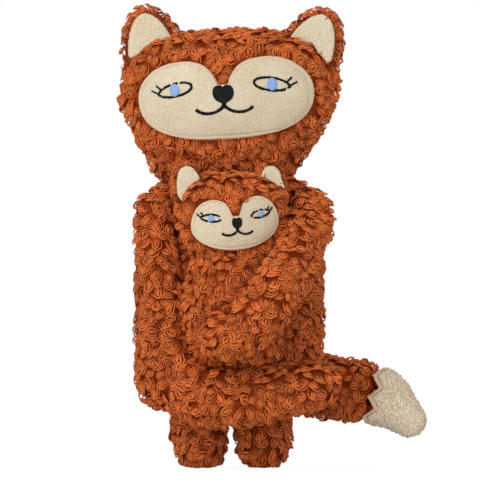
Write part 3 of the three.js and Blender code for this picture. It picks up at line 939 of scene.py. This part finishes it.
    def beside(self, spots: Array, facing: Array, along: Array) -> Array:
        """Turns the tufts next to a sewn piece so that they point away from its edge.

        Args:
            spots: the places on the cover.
            facing: the cover's normals there.
            along: the way that each tuft points, changed in place.

        Returns:
            Which tufts lie next to the sewn piece.
        """
        near = np.zeros(len(spots), bool)
        if self.keep_off is None:
            return near
        for i, at in enumerate(map(Vector, spots)):
            edge = self.keep_off.find_nearest(at, self.beside_mm * MM)[0]
            if edge is not None:
                step = np.array(at - edge)
                step -= facing[i] * (facing[i] @ step)
                along[i] = unit(step)
                near[i] = True
        return near

    def room(self, spots: Array, facing: Array) -> tuple[Array, Array, Array]:
        """Finds how far each tuft may rise, and which are left out under a sewn piece.

        In a crease between two stuffed pieces the pile's colour is darkened towards its root
        colour: painted shade.

        Args:
            spots: the places on the cover.
            facing: the cover's normals there.

        Returns:
            The share of its height that each tuft keeps, how much of its colour's lightness
            it keeps under the painted crease shade, and whether it is kept.
        """
        press, shade = np.ones((2, len(spots)))
        keep = np.ones(len(spots), bool)
        for i, (at, out) in enumerate(zip(map(Vector, spots), map(Vector, facing))):
            if self.keep_off is not None:
                keep[i] = self.keep_off.find_nearest(at, self.keep_off_mm * MM)[0] is None
            if keep[i] and self.neighbours:
                press[i] = min(neighbour.lift(at, out) for neighbour in self.neighbours)
                # Painted shade: the nearer another cover lies at rest, the darker the tuft's
                # colour
                near = self.neighbours[0].tree.find_nearest(at, self.crease_mm * MM)[3]
                if near is not None:
                    shade[i] = (near / MM / self.crease_mm) ** self.crease_power
        return press, shade, keep


def mesh_piece(name: str, points: Array, faces: Array) -> bpy.types.Object:
    """A new piece from points and four-sided faces.

    Args:
        name: its name.
        points: its points, in metres.
        faces: the corners of each face.

    Returns:
        The piece.
    """
    mesh = bpy.data.meshes.new(name)
    mesh.vertices.add(len(points))
    mesh.vertices.foreach_set("co", points.astype(np.float32).ravel())
    mesh.loops.add(faces.size)
    mesh.loops.foreach_set("vertex_index", faces.astype(np.int32).ravel())
    mesh.polygons.add(len(faces))
    mesh.polygons.foreach_set("loop_start", np.arange(0, faces.size, 4, dtype=np.int32))
    mesh.update(calc_edges=True)
    return linked(name, mesh)


# ---------------------------------------------------------------- outlines of sewn shapes


def bezier(corners: Sequence[Point2], steps: int) -> list[Point2]:
    """Points on a cubic curve, without its last.

    Args:
        corners: its four control points.
        steps: how many points.

    Returns:
        The points.
    """
    a, b, c, d = (np.array(p, float) for p in corners)
    found = []
    for i in range(steps):
        t = i / steps
        at = a * (1 - t) ** 3 + b * 3 * t * (1 - t) ** 2 + c * 3 * t * t * (1 - t) + d * t ** 3
        found.append((float(at[0]), float(at[1])))
    return found


def mirrored(right: Sequence[Point2]) -> list[Point2]:
    """A closed outline from its right half, which runs from the top middle to the bottom."""
    return list(right) + [(-x, y) for x, y in reversed(right) if x > 1e-9]


def moved(place: tuple[float, float, float], x: float, y: float) -> Point2:
    """A point of a small drawing, turned and moved to its place in the face.

    Args:
        place: where the small drawing's middle lies, and its slope in degrees.
        x: across, from that middle.
        y: up, from it.

    Returns:
        The point in the face.
    """
    ox, oy, slope = place
    cos, sin = math.cos(math.radians(slope)), math.sin(math.radians(slope))
    return ox + x * cos - y * sin, oy + x * sin + y * cos


def rolled(inside: float, width: float) -> float:
    """How far a rounded edge of some width has risen, from 0 to 1, at a distance inside it."""
    return math.sqrt(max(0.0, 1 - (1 - min(inside, width) / width) ** 2))


@dataclass(frozen=True)
class FaceSizes:
    """The face's layout, in millimetres from the middle of the nose."""

    patch_width: float
    lobe_spacing: float
    lobe_rise: float
    notch_rise: float
    notch_width: float
    patch_drop: float
    cheek: float
    chin: float
    nose_width: float
    nose_tall: float
    mouth_width: float
    mouth_rise: float
    mouth_depth: float
    thread: float
    eye_spacing: float
    eye_rise: float
    eye_width: float
    eye_tall: float
    iris_width: float
    iris_tall: float
    eye_droop: float
    lash: float
    patch_thick: float
    rim: float

    def patch(self) -> list[Point2]:
        """Draws the pale mask.

        Returns:
            Its closed outline.
        """
        half, lobe = self.patch_width / 2, self.lobe_spacing / 2
        top, low, base = self.lobe_rise, -self.patch_drop, self.notch_rise
        notch, brow, brow_rise, full = self.notch_width / 2, 0.12, 0.6, 0.56
        right = [(0.0, base), (notch * 0.5, base)]
        right += bezier([(notch, base), (notch + (lobe - notch) * brow,
                                         base + (top - base) * brow_rise),
                         (lobe * (1 - full), top), (lobe, top)], 14)
        right += bezier([(lobe, top), (lobe + (half - lobe) * full, top), (half, top * full),
                         (half, 0)], 16)
        right += bezier([(half, 0), (half, low * self.cheek), (half * self.chin, low),
                         (0, low)], 24) + [(0.0, low)]
        return mirrored(right)

    def nose(self) -> list[Point2]:
        """Draws the nose: two full lobes and a round point below.

        Returns:
            Its closed outline.
        """
        half, rise, stem = self.nose_width / 2, self.nose_tall / 2, self.thread * 0.95
        right = bezier([(0, rise * 0.76), (half * 0.2, rise * 1.1), (half * 0.98, rise * 1.14),
                        (half, rise * 0.2)], 12)
        right += bezier([(half, rise * 0.2), (half, -rise * 0.56), (half * 0.6, -rise * 0.86),
                         (stem, -rise)], 12)
        right += [(stem, -rise), (stem * 0.95, -rise - self.thread * 1.1),
                  (0.0, -rise - self.thread * 1.3)]
        return mirrored(right)

    def eye(self, side: int) -> list[Point2]:
        """Draws the line of an eye: a point at the outer end and a round inner end.

        Args:
            side: -1 for the eye at the viewer's left, 1 for the other.

        Returns:
            The closed line.
        """
        outer = side * (self.eye_width - self.thread) / 2
        tall = self.eye_tall - self.thread
        lid, round_end = 0.62, 0.8
        rise = tall / 2 / (3 / 8 * (1 + round_end))
        lower = bezier([(outer, 0), (outer * lid, -rise), (-outer, -rise * round_end),
                        (-outer, 0)], 16)
        upper = bezier([(-outer, 0), (-outer, rise * round_end), (outer * lid, rise),
                        (outer, 0)], 16)
        return lower + upper

    def iris(self) -> list[Point2]:
        """Draws an iris, an oval drawn in a little above and below.

        Returns:
            Its closed outline.
        """
        wide, tall = self.iris_width / 2, self.iris_tall / 2
        return [(wide * math.cos(a) * (1 - 0.1 * abs(math.sin(a)) ** 4), tall * math.sin(a))
                for a in np.linspace(2 * math.pi, 0, 40, endpoint=False)]

    def mouth(self) -> list[Point2]:
        """Draws the mouth.

        Returns:
            Its line, from one end to the other.
        """
        half = self.mouth_width / 2
        top = -self.nose_tall / 2
        low = top - self.mouth_depth
        left = bezier([(-half, low + self.mouth_rise), (-half * 0.78, low - 0.6),
                       (-half * 0.3, low - 1.2), (0, top - self.thread * 1.2)], 12)
        right = [(-x, y) for x, y in reversed(left)]
        return left + [(0.0, top - self.thread)] + right


BIG_FACE = FaceSizes(123.4, 60, 24.5, 7, 7, 31.6, 0.62, 0.72, 15, 12.6, 40, 3.6, 7.4, 1.6, 68.7,
                     4.7, 26.6, 10.4, 7.1, 9.2, 10, 5, 2.4, 2.6)
SMALL_FACE = FaceSizes(61, 31, 17.5, 5, 5, 18.5, 0.55, 0.55, 7.2, 7.6, 21.5, 1.6, 4.2, 1.15,
                       35, 5, 15, 6, 4, 5.2, -9, 2.8, 1.8, 1.9)


@dataclass
class FaceMap:
    """Where a flat drawing of a face lands on a head."""

    middle: Vector
    turn_degrees: float
    tilt_degrees: float
    cloth: BVHTree
    reach_mm: float = 90.0
    across: Vector = field(init=False)
    up: Vector = field(init=False)
    into: Vector = field(init=False)

    def __post_init__(self) -> None:
        """Works out the drawing's axes."""
        turn = Matrix.Rotation(math.radians(self.turn_degrees), 3, "Z")
        tilt = Matrix.Rotation(-math.radians(self.tilt_degrees), 3, "Y")
        self.across = turn @ tilt @ Vector((1, 0, 0))
        self.up = turn @ tilt @ Vector((0, 0, 1))
        self.into = turn @ Vector((0, 1, 0))

    def land(self, x: float, y: float) -> tuple[Vector, Vector]:
        """Where a point of the drawing lands.

        Args:
            x: across, in millimetres.
            y: up, in millimetres.

        Returns:
            The place on the cloth and its outward normal.
        """
        drawn = self.middle + (self.across * x + self.up * y) * MM
        start = drawn - self.into * self.reach_mm * MM
        hit, normal, _, _ = self.cloth.ray_cast(start, self.into)
        if hit is None:
            inside = start + self.into * self.reach_mm * MM * 0.6
            hit, normal, _, _ = self.cloth.find_nearest(inside)
        if normal.dot(self.into) > 0:
            normal = -normal
        return hit, normal


@dataclass
class SewnPad:
    """A flat sewn shape on a head, shaped from a sphere: its equator is the outline."""

    name: str
    outline: list[Point2]
    centre: Point2
    face: FaceMap
    lift: Callable[[float], float]
    rings: int
    sides: int
    place: tuple[float, float, float] = (0.0, 0.0, 0.0)
    sunk_mm: float = 0.6
    level: float = 1e-6
    pole: float = 1e-5
    deep_mm: float = 1000.0

    def edge(self, share: float) -> Point2:
        """Finds where the outline lies in a direction from its centre.

        Args:
            share: the direction, as a share of a full turn.

        Returns:
            The outline's point there, from its centre.
        """
        spots = np.array(self.outline) - self.centre
        angles = np.unwrap(np.arctan2(spots[:, 1], spots[:, 0]))
        if angles[-1] < angles[0]:
            angles, spots = angles[::-1], spots[::-1]
        radius = np.linalg.norm(spots, axis=1)
        want = (share * 2 * math.pi - angles[0]) % (2 * math.pi) + angles[0]
        wrapped = np.append(angles, angles[0] + 2 * math.pi)
        found = float(np.interp(want, wrapped, np.append(radius, radius[0])))
        return found * math.cos(want), found * math.sin(want)

    def build(self) -> bpy.types.Object:
        """Shapes the pad and lays it on the head.

        Returns:
            The pad.
        """
        deselect()
        bpy.ops.mesh.primitive_uv_sphere_add(segments=self.sides, ring_count=2 * self.rings,
                                             radius=1.0)
        pad = bpy.context.active_object
        pad.name = self.name
        pad.data.name = self.name
        points = points_of(pad)
        reach = np.linalg.norm(points[:, :2], axis=1)
        share = (np.arctan2(points[:, 1], points[:, 0]) / (2 * math.pi)) % 1.0
        edges = {round(s, 6): self.edge(s) for s in set(share.tolist())}
        for i, (height, far, turn) in enumerate(zip(points[:, 2].copy(), reach, share)):
            ex, ey = edges[round(turn, 6)] if far > self.pole else (0.0, 0.0)
            far = min(1.0, far)
            inside = (1 - far) * math.hypot(ex, ey) if far > self.pole else self.deep_mm
            spot, out = self.face.land(*moved(self.place, self.centre[0] + ex * far,
                                              self.centre[1] + ey * far))
            rise = -self.sunk_mm
            if height >= -self.level:
                rise = self.lift(inside if height > self.level else 0.0)
            points[i] = spot + out * rise * MM
        place_points(pad, points)
        turn_outward(pad)
        return pad


@dataclass
class StitchLine:
    """A line of short embroidery stitches along a drawn line."""

    name: str
    line: list[Point2]
    face: FaceMap
    width_mm: float
    pitch_mm: float
    seed: int
    height_mm: float = 0.55
    closed: bool = False
    place: tuple[float, float, float] = (0.0, 0.0, 0.0)
    wander: float = 0.12
    overlap: float = 1.7
    missing: float = 0.0
    look_mm: float = 0.2

    @staticmethod
    def walk(way: Array, length: Array, at: Array) -> Array:
        """The points of a way at some lengths along it."""
        return np.stack([np.interp(at, length, way[:, i]) for i in (0, 1)], 1)

    def build(self) -> bpy.types.Object:
        """Lays one stitch after another, each a flattened capsule.

        Returns:
            The line of stitches.
        """
        rng = np.random.default_rng(self.seed)
        way = np.array([moved(self.place, x, y) for x, y in self.line])
        if self.closed:
            way = np.vstack([way, way[:1]])
        length = np.concatenate([[0], np.cumsum(np.linalg.norm(np.diff(way, axis=0), axis=1))])
        count = max(2, round(length[-1] / self.pitch_mm))
        at = (np.arange(count) + 0.5) / count * length[-1]
        spots = self.walk(way, length, at)
        ways = (self.walk(way, length, np.minimum(at + self.look_mm, length[-1]))
                - self.walk(way, length, np.maximum(at - self.look_mm, 0)))
        deselect()
        bpy.ops.mesh.primitive_uv_sphere_add(segments=8, ring_count=6, radius=1.0)
        stitch = bpy.context.active_object
        shape = points_of(stitch)
        # Fuller ends than an ellipsoid's, as a stitch of several threads has
        shape[:, 2] = np.sign(shape[:, 2]) * np.abs(shape[:, 2]) ** 0.75
        corners = [tuple(f.vertices) for f in stitch.data.polygons]
        bpy.data.objects.remove(stitch)
        points, faces = [], []
        for i, (spot, step) in enumerate(zip(spots, ways)):
            if 0 < i < count - 1 and rng.random() < self.missing:
                continue
            spot, out = self.face.land(*spot)
            angle = math.atan2(step[1], step[0]) + rng.normal(0, self.wander)
            along = self.face.across * math.cos(angle) + self.face.up * math.sin(angle)
            along = (along - out * along.dot(out)).normalized()
            long = self.pitch_mm / 2 * self.overlap * rng.uniform(0.9, 1.12)
            wide = self.width_mm / 2 * rng.uniform(0.85, 1.15)
            axes = np.array([out.cross(along) * wide, out * self.height_mm, along * long]) * MM
            start = len(points) * len(shape)
            points.append(shape @ axes + np.array(spot + out * 0.1 * MM))
            faces.extend(tuple(start + c for c in f) for f in corners)
        mesh = bpy.data.meshes.new(self.name)
        mesh.from_pydata([tuple(p) for p in np.concatenate(points)], [], faces)
        piece = linked(self.name, mesh)
        turn_outward(piece)
        return piece


# ---------------------------------------------------------------- the sewn face


@dataclass
class SewnFace:
    """The pale mask of a head with its stitched nose, mouth and eyes."""

    prefix: str
    body: str
    sizes: FaceSizes
    face: FaceMap
    seed: int
    looseness: float = 0.15

    def puffed(self, inside: float) -> float:
        """How high the mask stands, with a sewn channel inside its rolled edge.

        Args:
            inside: the distance from its edge, in millimetres.

        Returns:
            The height, in millimetres.
        """
        thick, rim = self.sizes.patch_thick, self.sizes.rim
        channel = 0.75 * math.exp(-((inside - rim * 1.15) / (rim * 0.32)) ** 2)
        puff = 0.5 * min(1.0, inside / (6 * rim))
        return 0.2 + thick * rolled(inside, rim) - channel * thick * 0.55 + puff

    def satin(self, inside: float) -> float:
        """How high the filled stitches stand at a distance from their edge."""
        return 0.1 + self.sizes.thread * 0.75 * rolled(inside, 1.6)

    def mask(self) -> BVHTree:
        """Makes the puffed mask with its sewn channel, and its rim.

        Returns:
            A search tree over the mask, for what is stitched on it.
        """
        sizes = self.sizes
        pad = SewnPad(f"{self.prefix}_mask", sizes.patch(), (0.0, -sizes.patch_drop * 0.25),
                      self.face, self.puffed, rings=26, sides=144).build()
        tree = tree_of(pad)
        settle(pad, self.body, FACE_TERRY, Slot.TERRY, [f"{self.prefix}_face_patch"], 0.3)
        seam = self.inset(sizes.patch(), sizes.rim * 0.55)
        tape = StitchLine(f"{self.prefix}_mask_seam", seam, replace(self.face, cloth=tree),
                          sizes.rim * 0.5, 1.5, self.seed, 0.3, closed=True, wander=0.04,
                          overlap=2.2).build()
        settle(tape, self.body, TAPE, Slot.TAPE)
        return tree

    @staticmethod
    def inset(outline: Sequence[Point2], by: float) -> list[Point2]:
        """An outline moved inward.

        Args:
            outline: a closed outline that runs clockwise.
            by: how far.

        Returns:
            The new outline.
        """
        spots = np.array(outline)
        step = unit(np.roll(spots, -1, 0) - np.roll(spots, 1, 0))
        return [tuple(p) for p in spots + np.stack([step[:, 1], -step[:, 0]], 1) * by]

    def build(self) -> BVHTree:
        """Makes the mask, nose, mouth and eyes.

        Returns:
            A search tree over the mask, which the pile keeps off.
        """
        sizes = self.sizes
        cloth = self.mask()
        face = replace(self.face, cloth=cloth)
        nose = SewnPad(f"{self.prefix}_nose_stitching", sizes.nose(), (0.0, 0.0), face,
                       self.satin, rings=10, sides=64).build()
        settle(nose, self.body, BLACK, Slot.BLACK, [f"{self.prefix}_nose"])
        mouth = StitchLine(f"{self.prefix}_mouth_stitching", sizes.mouth(), face,
                           sizes.thread * 1.55, sizes.thread * 0.95, self.seed + 1,
                           wander=self.looseness).build()
        settle(mouth, self.body, BLACK, Slot.BLACK, [f"{self.prefix}_mouth"])
        for side, name in ((-1, "left"), (1, "right")):
            self.eye(face, side, name)
        return cloth

    def eye(self, face: FaceMap, side: int, name: str) -> None:
        """Stitches one eye: its outline with two lashes, and its iris.

        Args:
            face: the drawing laid on the mask.
            side: -1 for the eye at the viewer's left, 1 for the other.
            name: left or right.
        """
        sizes = self.sizes
        thread, loose = sizes.thread, self.looseness
        place = (side * sizes.eye_spacing / 2, sizes.eye_rise, -side * sizes.eye_droop)
        seed = self.seed + 10 + side
        lines = [StitchLine(f"{self.prefix}_{name}_eye_line", sizes.eye(side), face,
                            thread * (1 + loose * 1.2), thread * 1.15, seed, closed=True,
                            place=place, overlap=1.6, wander=loose * 1.4,
                            missing=loose * 0.4).build()]
        # Where each lash starts on the eye, across and up, and how far it reaches and rises
        for i, (across, up, reach, rise) in enumerate([(0.94, 0.1, 0.86, 0.66),
                                                       (0.74, 0.52, 0.56, 0.7)]):
            start = (side * (sizes.eye_width / 2) * across, sizes.eye_tall / 2 * up)
            end = (start[0] + side * sizes.lash * reach, start[1] + sizes.lash * rise)
            lines.append(StitchLine(f"lash_{i}", [start, end], face, thread * (0.8 + loose * 0.8),
                                    thread, seed + 5 + i, place=place, wander=loose).build())
        whole = joined(f"{self.prefix}_{name}_eye_stitching", lines)
        settle(whole, self.body, BLACK, Slot.BLACK, [f"{self.prefix}_{name}_eye_outline"])
        iris = SewnPad(f"{self.prefix}_{name}_iris_stitching", sizes.iris(), (0.0, 0.0), face,
                       self.satin, rings=7, sides=40, place=(place[0], place[1], 0.0)).build()
        settle(iris, self.body, BLUE, Slot.BLUE, [f"{self.prefix}_{name}_iris"])


# ---------------------------------------------------------------- terry pieces


@dataclass
class TerryPiece:
    """A pale terry piece that keeps the form of its CAD node: a lining, the tip or the band."""

    node: str
    finish: bpy.types.Material
    slot: Slot
    voxel_mm: float
    rounding: int = 4
    swell_mm: float = 0.2
    grain_mm: float = 0.25
    fill: float | None = 0.5
    foot_share: float = 0.0
    foot_depth: float = 0.35
    seed: int = 5

    def build(self) -> bpy.types.Object:
        """Remeshes a copy of the node, rounds it, draws its foot up and raises its grain.

        Returns:
            The piece.
        """
        piece = even_copy(self.node, f"{self.node}_cloth", self.voxel_mm)
        ease(piece, self.rounding)
        rng = np.random.default_rng(self.seed)
        points, normals = points_of(piece), points_of(piece, "normal")
        height = points[:, 2]
        foot = height.min() + (height.max() - height.min()) * self.foot_share
        points[:, 2] = np.where(height < foot, foot - (foot - height) * self.foot_depth, height)
        rise = self.swell_mm + rng.uniform(-1, 1, len(points)) * self.grain_mm / 2
        place_points(piece, points + normals * (rise * MM)[:, None])
        return settle(piece, body_of(self.node), self.finish, self.slot, [self.node], self.fill)


# ---------------------------------------------------------------- the two foxes


@dataclass
class PlushFoxes:
    """Both toys: their covers, piles, faces, ears and the tail."""

    tufts: Tufts
    covers: dict[str, Cover] = field(default_factory=dict)
    masks: dict[str, BVHTree] = field(default_factory=dict)
    first_seed: int = 12
    step_degrees: float = 14.0

    def make_covers(self) -> None:
        """Makes every stuffed cover first, because the piles are pressed by their neighbours."""
        for node, cut in CUTS.items():
            self.covers[node] = Cover(node, body_of(node), cut)
            self.covers[node].build()

    def tree(self, bodies: set[str]) -> BVHTree:
        """A search tree over the covers that ride on some bodies."""
        return tree_of(*(c.piece for c in self.covers.values() if c.body in bodies))

    def neighbours(self, body: str) -> tuple[Neighbour, ...]:
        """Finds what presses the pile of one body, at rest and as the arms and legs move.

        Args:
            body: the body that the pile rides on.

        Returns:
            The other covers at rest, then those that come near at steps of each limb's travel.
        """
        others = self.tree({cover.body for cover in self.covers.values()} - {body})
        leg = body.endswith("leg")
        found = [Neighbour(others, Matrix.Identity(4), 1.0, ALL_OVER if leg else NOWHERE)]
        for joint in frame["record"]["behaviour"]["joints"]:
            limb = joint["child"]
            if not limb.endswith(("arm", "leg")):
                continue
            tree = others if limb == body else self.tree({limb})
            around = ALL_OVER if leg else UNDERSIDE if limb.endswith("leg") else NOWHERE
            pivot, axis = Vector(joint["pos_m"]), Vector(joint["axis"])
            low, high = joint["range_deg"]
            steps = math.ceil((high - low) / self.step_degrees) + 1
            for degrees in np.linspace(low, high, steps):
                turn = math.radians(degrees if limb == body else -degrees)
                place = (Matrix.Translation(pivot) @ Matrix.Rotation(turn, 4, axis)
                         @ Matrix.Translation(-pivot))
                if abs(degrees) > 1:
                    found.append(Neighbour(tree, place, 0.8 if leg else 0.5, around))
        return tuple(found)

    def sewn_on(self, node: str) -> BVHTree | None:
        """Finds what is sewn on a cover, a mask, a lining or the tip, which its pile keeps off.

        Args:
            node: the cover's CAD node.

        Returns:
            A search tree over the sewn piece, or None where there is none.
        """
        if node.endswith("head"):
            return self.masks[node.split("_")[0]]
        names = [f"{node}_lining"] if node.endswith("ear") else []
        if node == "tail":
            names = ["tail_band", "tail_tip"]
        return tree_of(*(frame["nodes"][name] for name in names)) if names else None

    def dress(self) -> None:
        """Lays the pile on every cover and settles both."""
        for seed, (node, cover) in enumerate(self.covers.items(), self.first_seed):
            pitch = cover.cut.pitch_mm
            pile = Pile(cover.piece, f"{node}_loops", self.tufts, seed, pitch,
                        pitch / BIG.pitch_mm, self.sewn_on(node), cover.cut.keep_off_mm,
                        1.1 * pitch, self.neighbours(cover.body)).build()
            settle(cover.piece, cover.body, BACKING, Slot.PILE, [node], cover.cut.fill)
            for loops in pile:
                settle(loops, cover.body, YARN, Slot.PILE)

    def faces(self) -> None:
        """Makes both faces."""
        big = FaceMap(toy(-1, 10, 203.3 + 60), -6, 3.5, tree_of(self.covers["mother_head"].piece))
        self.masks["mother"] = SewnFace("mother", "big_head", BIG_FACE, big, 101).build()
        small = FaceMap(toy(1, -53, 150.3 + 22.5), 9, 5.4,
                        tree_of(self.covers["baby_head"].piece))
        self.masks["baby"] = SewnFace("baby", "small_fox", SMALL_FACE, small, 201, 0.3).build()

    def terry(self) -> None:
        """Makes the ear linings, the tail's tip and the tape of its seam."""
        for prefix, voxel, swell, foot in (("mother", 0.8, 0.9, 0.15), ("baby", 0.6, 0.5, 0.4)):
            for side in ("left", "right"):
                TerryPiece(f"{prefix}_{side}_ear_lining", FACE_TERRY, Slot.TERRY, voxel,
                           swell_mm=swell, foot_share=foot).build()
        tip = TerryPiece("tail_tip", TIP_TERRY, Slot.TERRY, 1.4, 8, 0.1, 0.2, 0.8).build()
        band = tree_of(frame["nodes"]["tail_band"])
        for loops in Pile(tip, "tail_tip_loops", self.tufts, 7, 1.75, keep_off=band,
                          keep_off_mm=0.6, beside_mm=0.0, stray_share=0.0,
                          mix=((1.0, LoopKind.TERRY),), most=4000).build():
            settle(loops, "tail", TIP_TERRY, Slot.TERRY)
        TerryPiece("tail_band", TAPE, Slot.TAPE, 0.7, 4, 0.05, 0.1, None).build()

    def build(self) -> None:
        """Builds the foxes in order."""
        self.make_covers()
        self.faces()
        self.terry()
        self.dress()


# ---------------------------------------------------------------- stage, lights and camera


@dataclass
class Stage:
    """A plain white studio."""

    centre: Vector = field(default_factory=lambda: toy(6.3, -30, 161))
    frame_mm: float = 336.0
    distance: float = 4.5
    sensor: float = 36.0
    glow: float = 1.07
    glow_share: float = 0.88
    sky: float = 0.5

    @staticmethod
    def seen(tree: bpy.types.NodeTree, *rays: str) -> bpy.types.NodeSocket:
        """A value of 1 where a ray of one of some kinds arrives.

        Args:
            tree: the node tree.
            *rays: the kinds of ray.

        Returns:
            The socket with that value.
        """
        path = add_node(tree, "ShaderNodeLightPath")
        found = path.outputs[f"Is {rays[0]} Ray"]
        for ray in rays[1:]:
            found = add_node(tree, "ShaderNodeMath", {0: found, 1: path.outputs[f"Is {ray} Ray"]},
                             operation="MAXIMUM").outputs[0]
        return found

    def floor(self) -> None:
        """A pale floor that shows white to the camera and keeps the shadow."""
        deselect()
        bpy.ops.mesh.primitive_plane_add(size=6.0, location=(0, 0, 0))
        floor = bpy.context.active_object
        floor.name = "studio_floor"
        material = bpy.data.materials.new("white_card")
        material.use_nodes = True
        tree = material.node_tree
        tree.nodes.clear()
        card = add_node(tree, "ShaderNodeBsdfDiffuse", values={"Color": linear("F4F4F2")})
        glow = add_node(tree, "ShaderNodeEmission",
                        values={"Color": linear("FFFFFF"), "Strength": self.glow})
        part = add_node(tree, "ShaderNodeMath", {0: self.seen(tree, "Camera", "Glossy")},
                        {1: self.glow_share}, operation="MULTIPLY")
        mix = add_node(tree, "ShaderNodeMixShader", {0: part.outputs[0],
                                                     1: card.outputs[0], 2: glow.outputs[0]})
        add_node(tree, "ShaderNodeOutputMaterial", {"Surface": mix.outputs[0]}, target="ALL")
        floor.data.materials.append(material)

    def world(self) -> None:
        """A world that lights the toy softly, and is white to the camera."""
        world = bpy.data.worlds.new("studio")
        bpy.context.scene.world = world
        world.use_nodes = True
        tree = world.node_tree
        tree.nodes.clear()
        sky, white = (add_node(tree, "ShaderNodeBackground",
                               values={"Color": linear("FFFFFF"), "Strength": strength})
                      for strength in (self.sky, 1.0))
        mix = add_node(tree, "ShaderNodeMixShader", {
            0: self.seen(tree, "Camera", "Glossy", "Transmission"), 1: sky.outputs[0],
            2: white.outputs[0]})
        add_node(tree, "ShaderNodeOutputWorld", {"Surface": mix.outputs[0]})

    def lamp(self, name: str, place: tuple[float, float, float], watts: float) -> None:
        """Adds a soft box that faces the toy.

        Args:
            name: its name.
            place: where it stands, in metres.
            watts: its power.
        """
        light = bpy.data.lights.new(name, "AREA")
        light.shape = "SQUARE"
        light.size = 0.8
        light.energy = watts
        lamp = linked(name, light)
        lamp.location = place
        lamp.rotation_euler = (self.centre - lamp.location).to_track_quat("-Z", "Y").to_euler()

    def camera(self) -> None:
        """Adds the camera, level and square to the front, with a long lens."""
        eye = bpy.data.cameras.new("camera")
        eye.sensor_width = self.sensor
        eye.lens = self.sensor * self.distance / (self.frame_mm * MM)
        eye.clip_end = 50.0
        camera = linked("camera", eye)
        camera.location = self.centre - Vector((0, self.distance, 0))
        camera.rotation_euler = (math.pi / 2, 0, 0)
        bpy.context.scene.camera = camera

    def build(self) -> None:
        """Builds the studio."""
        bpy.context.scene.view_settings.view_transform = "Standard"
        self.floor()
        self.world()
        self.camera()
        self.lamp("key", (-0.95, -1.3, 1.1), 12.5)
        self.lamp("low", (-0.1, -1.8, 0.08), 11.5)
        self.lamp("top", (0.1, 0.3, 1.6), 5.0)


def main() -> None:
    """Builds the studio and the foxes."""
    Stage().build()
    tufts = Tufts()
    tufts.build()
    PlushFoxes(tufts).build()


if __name__ == "__main__":
    main()
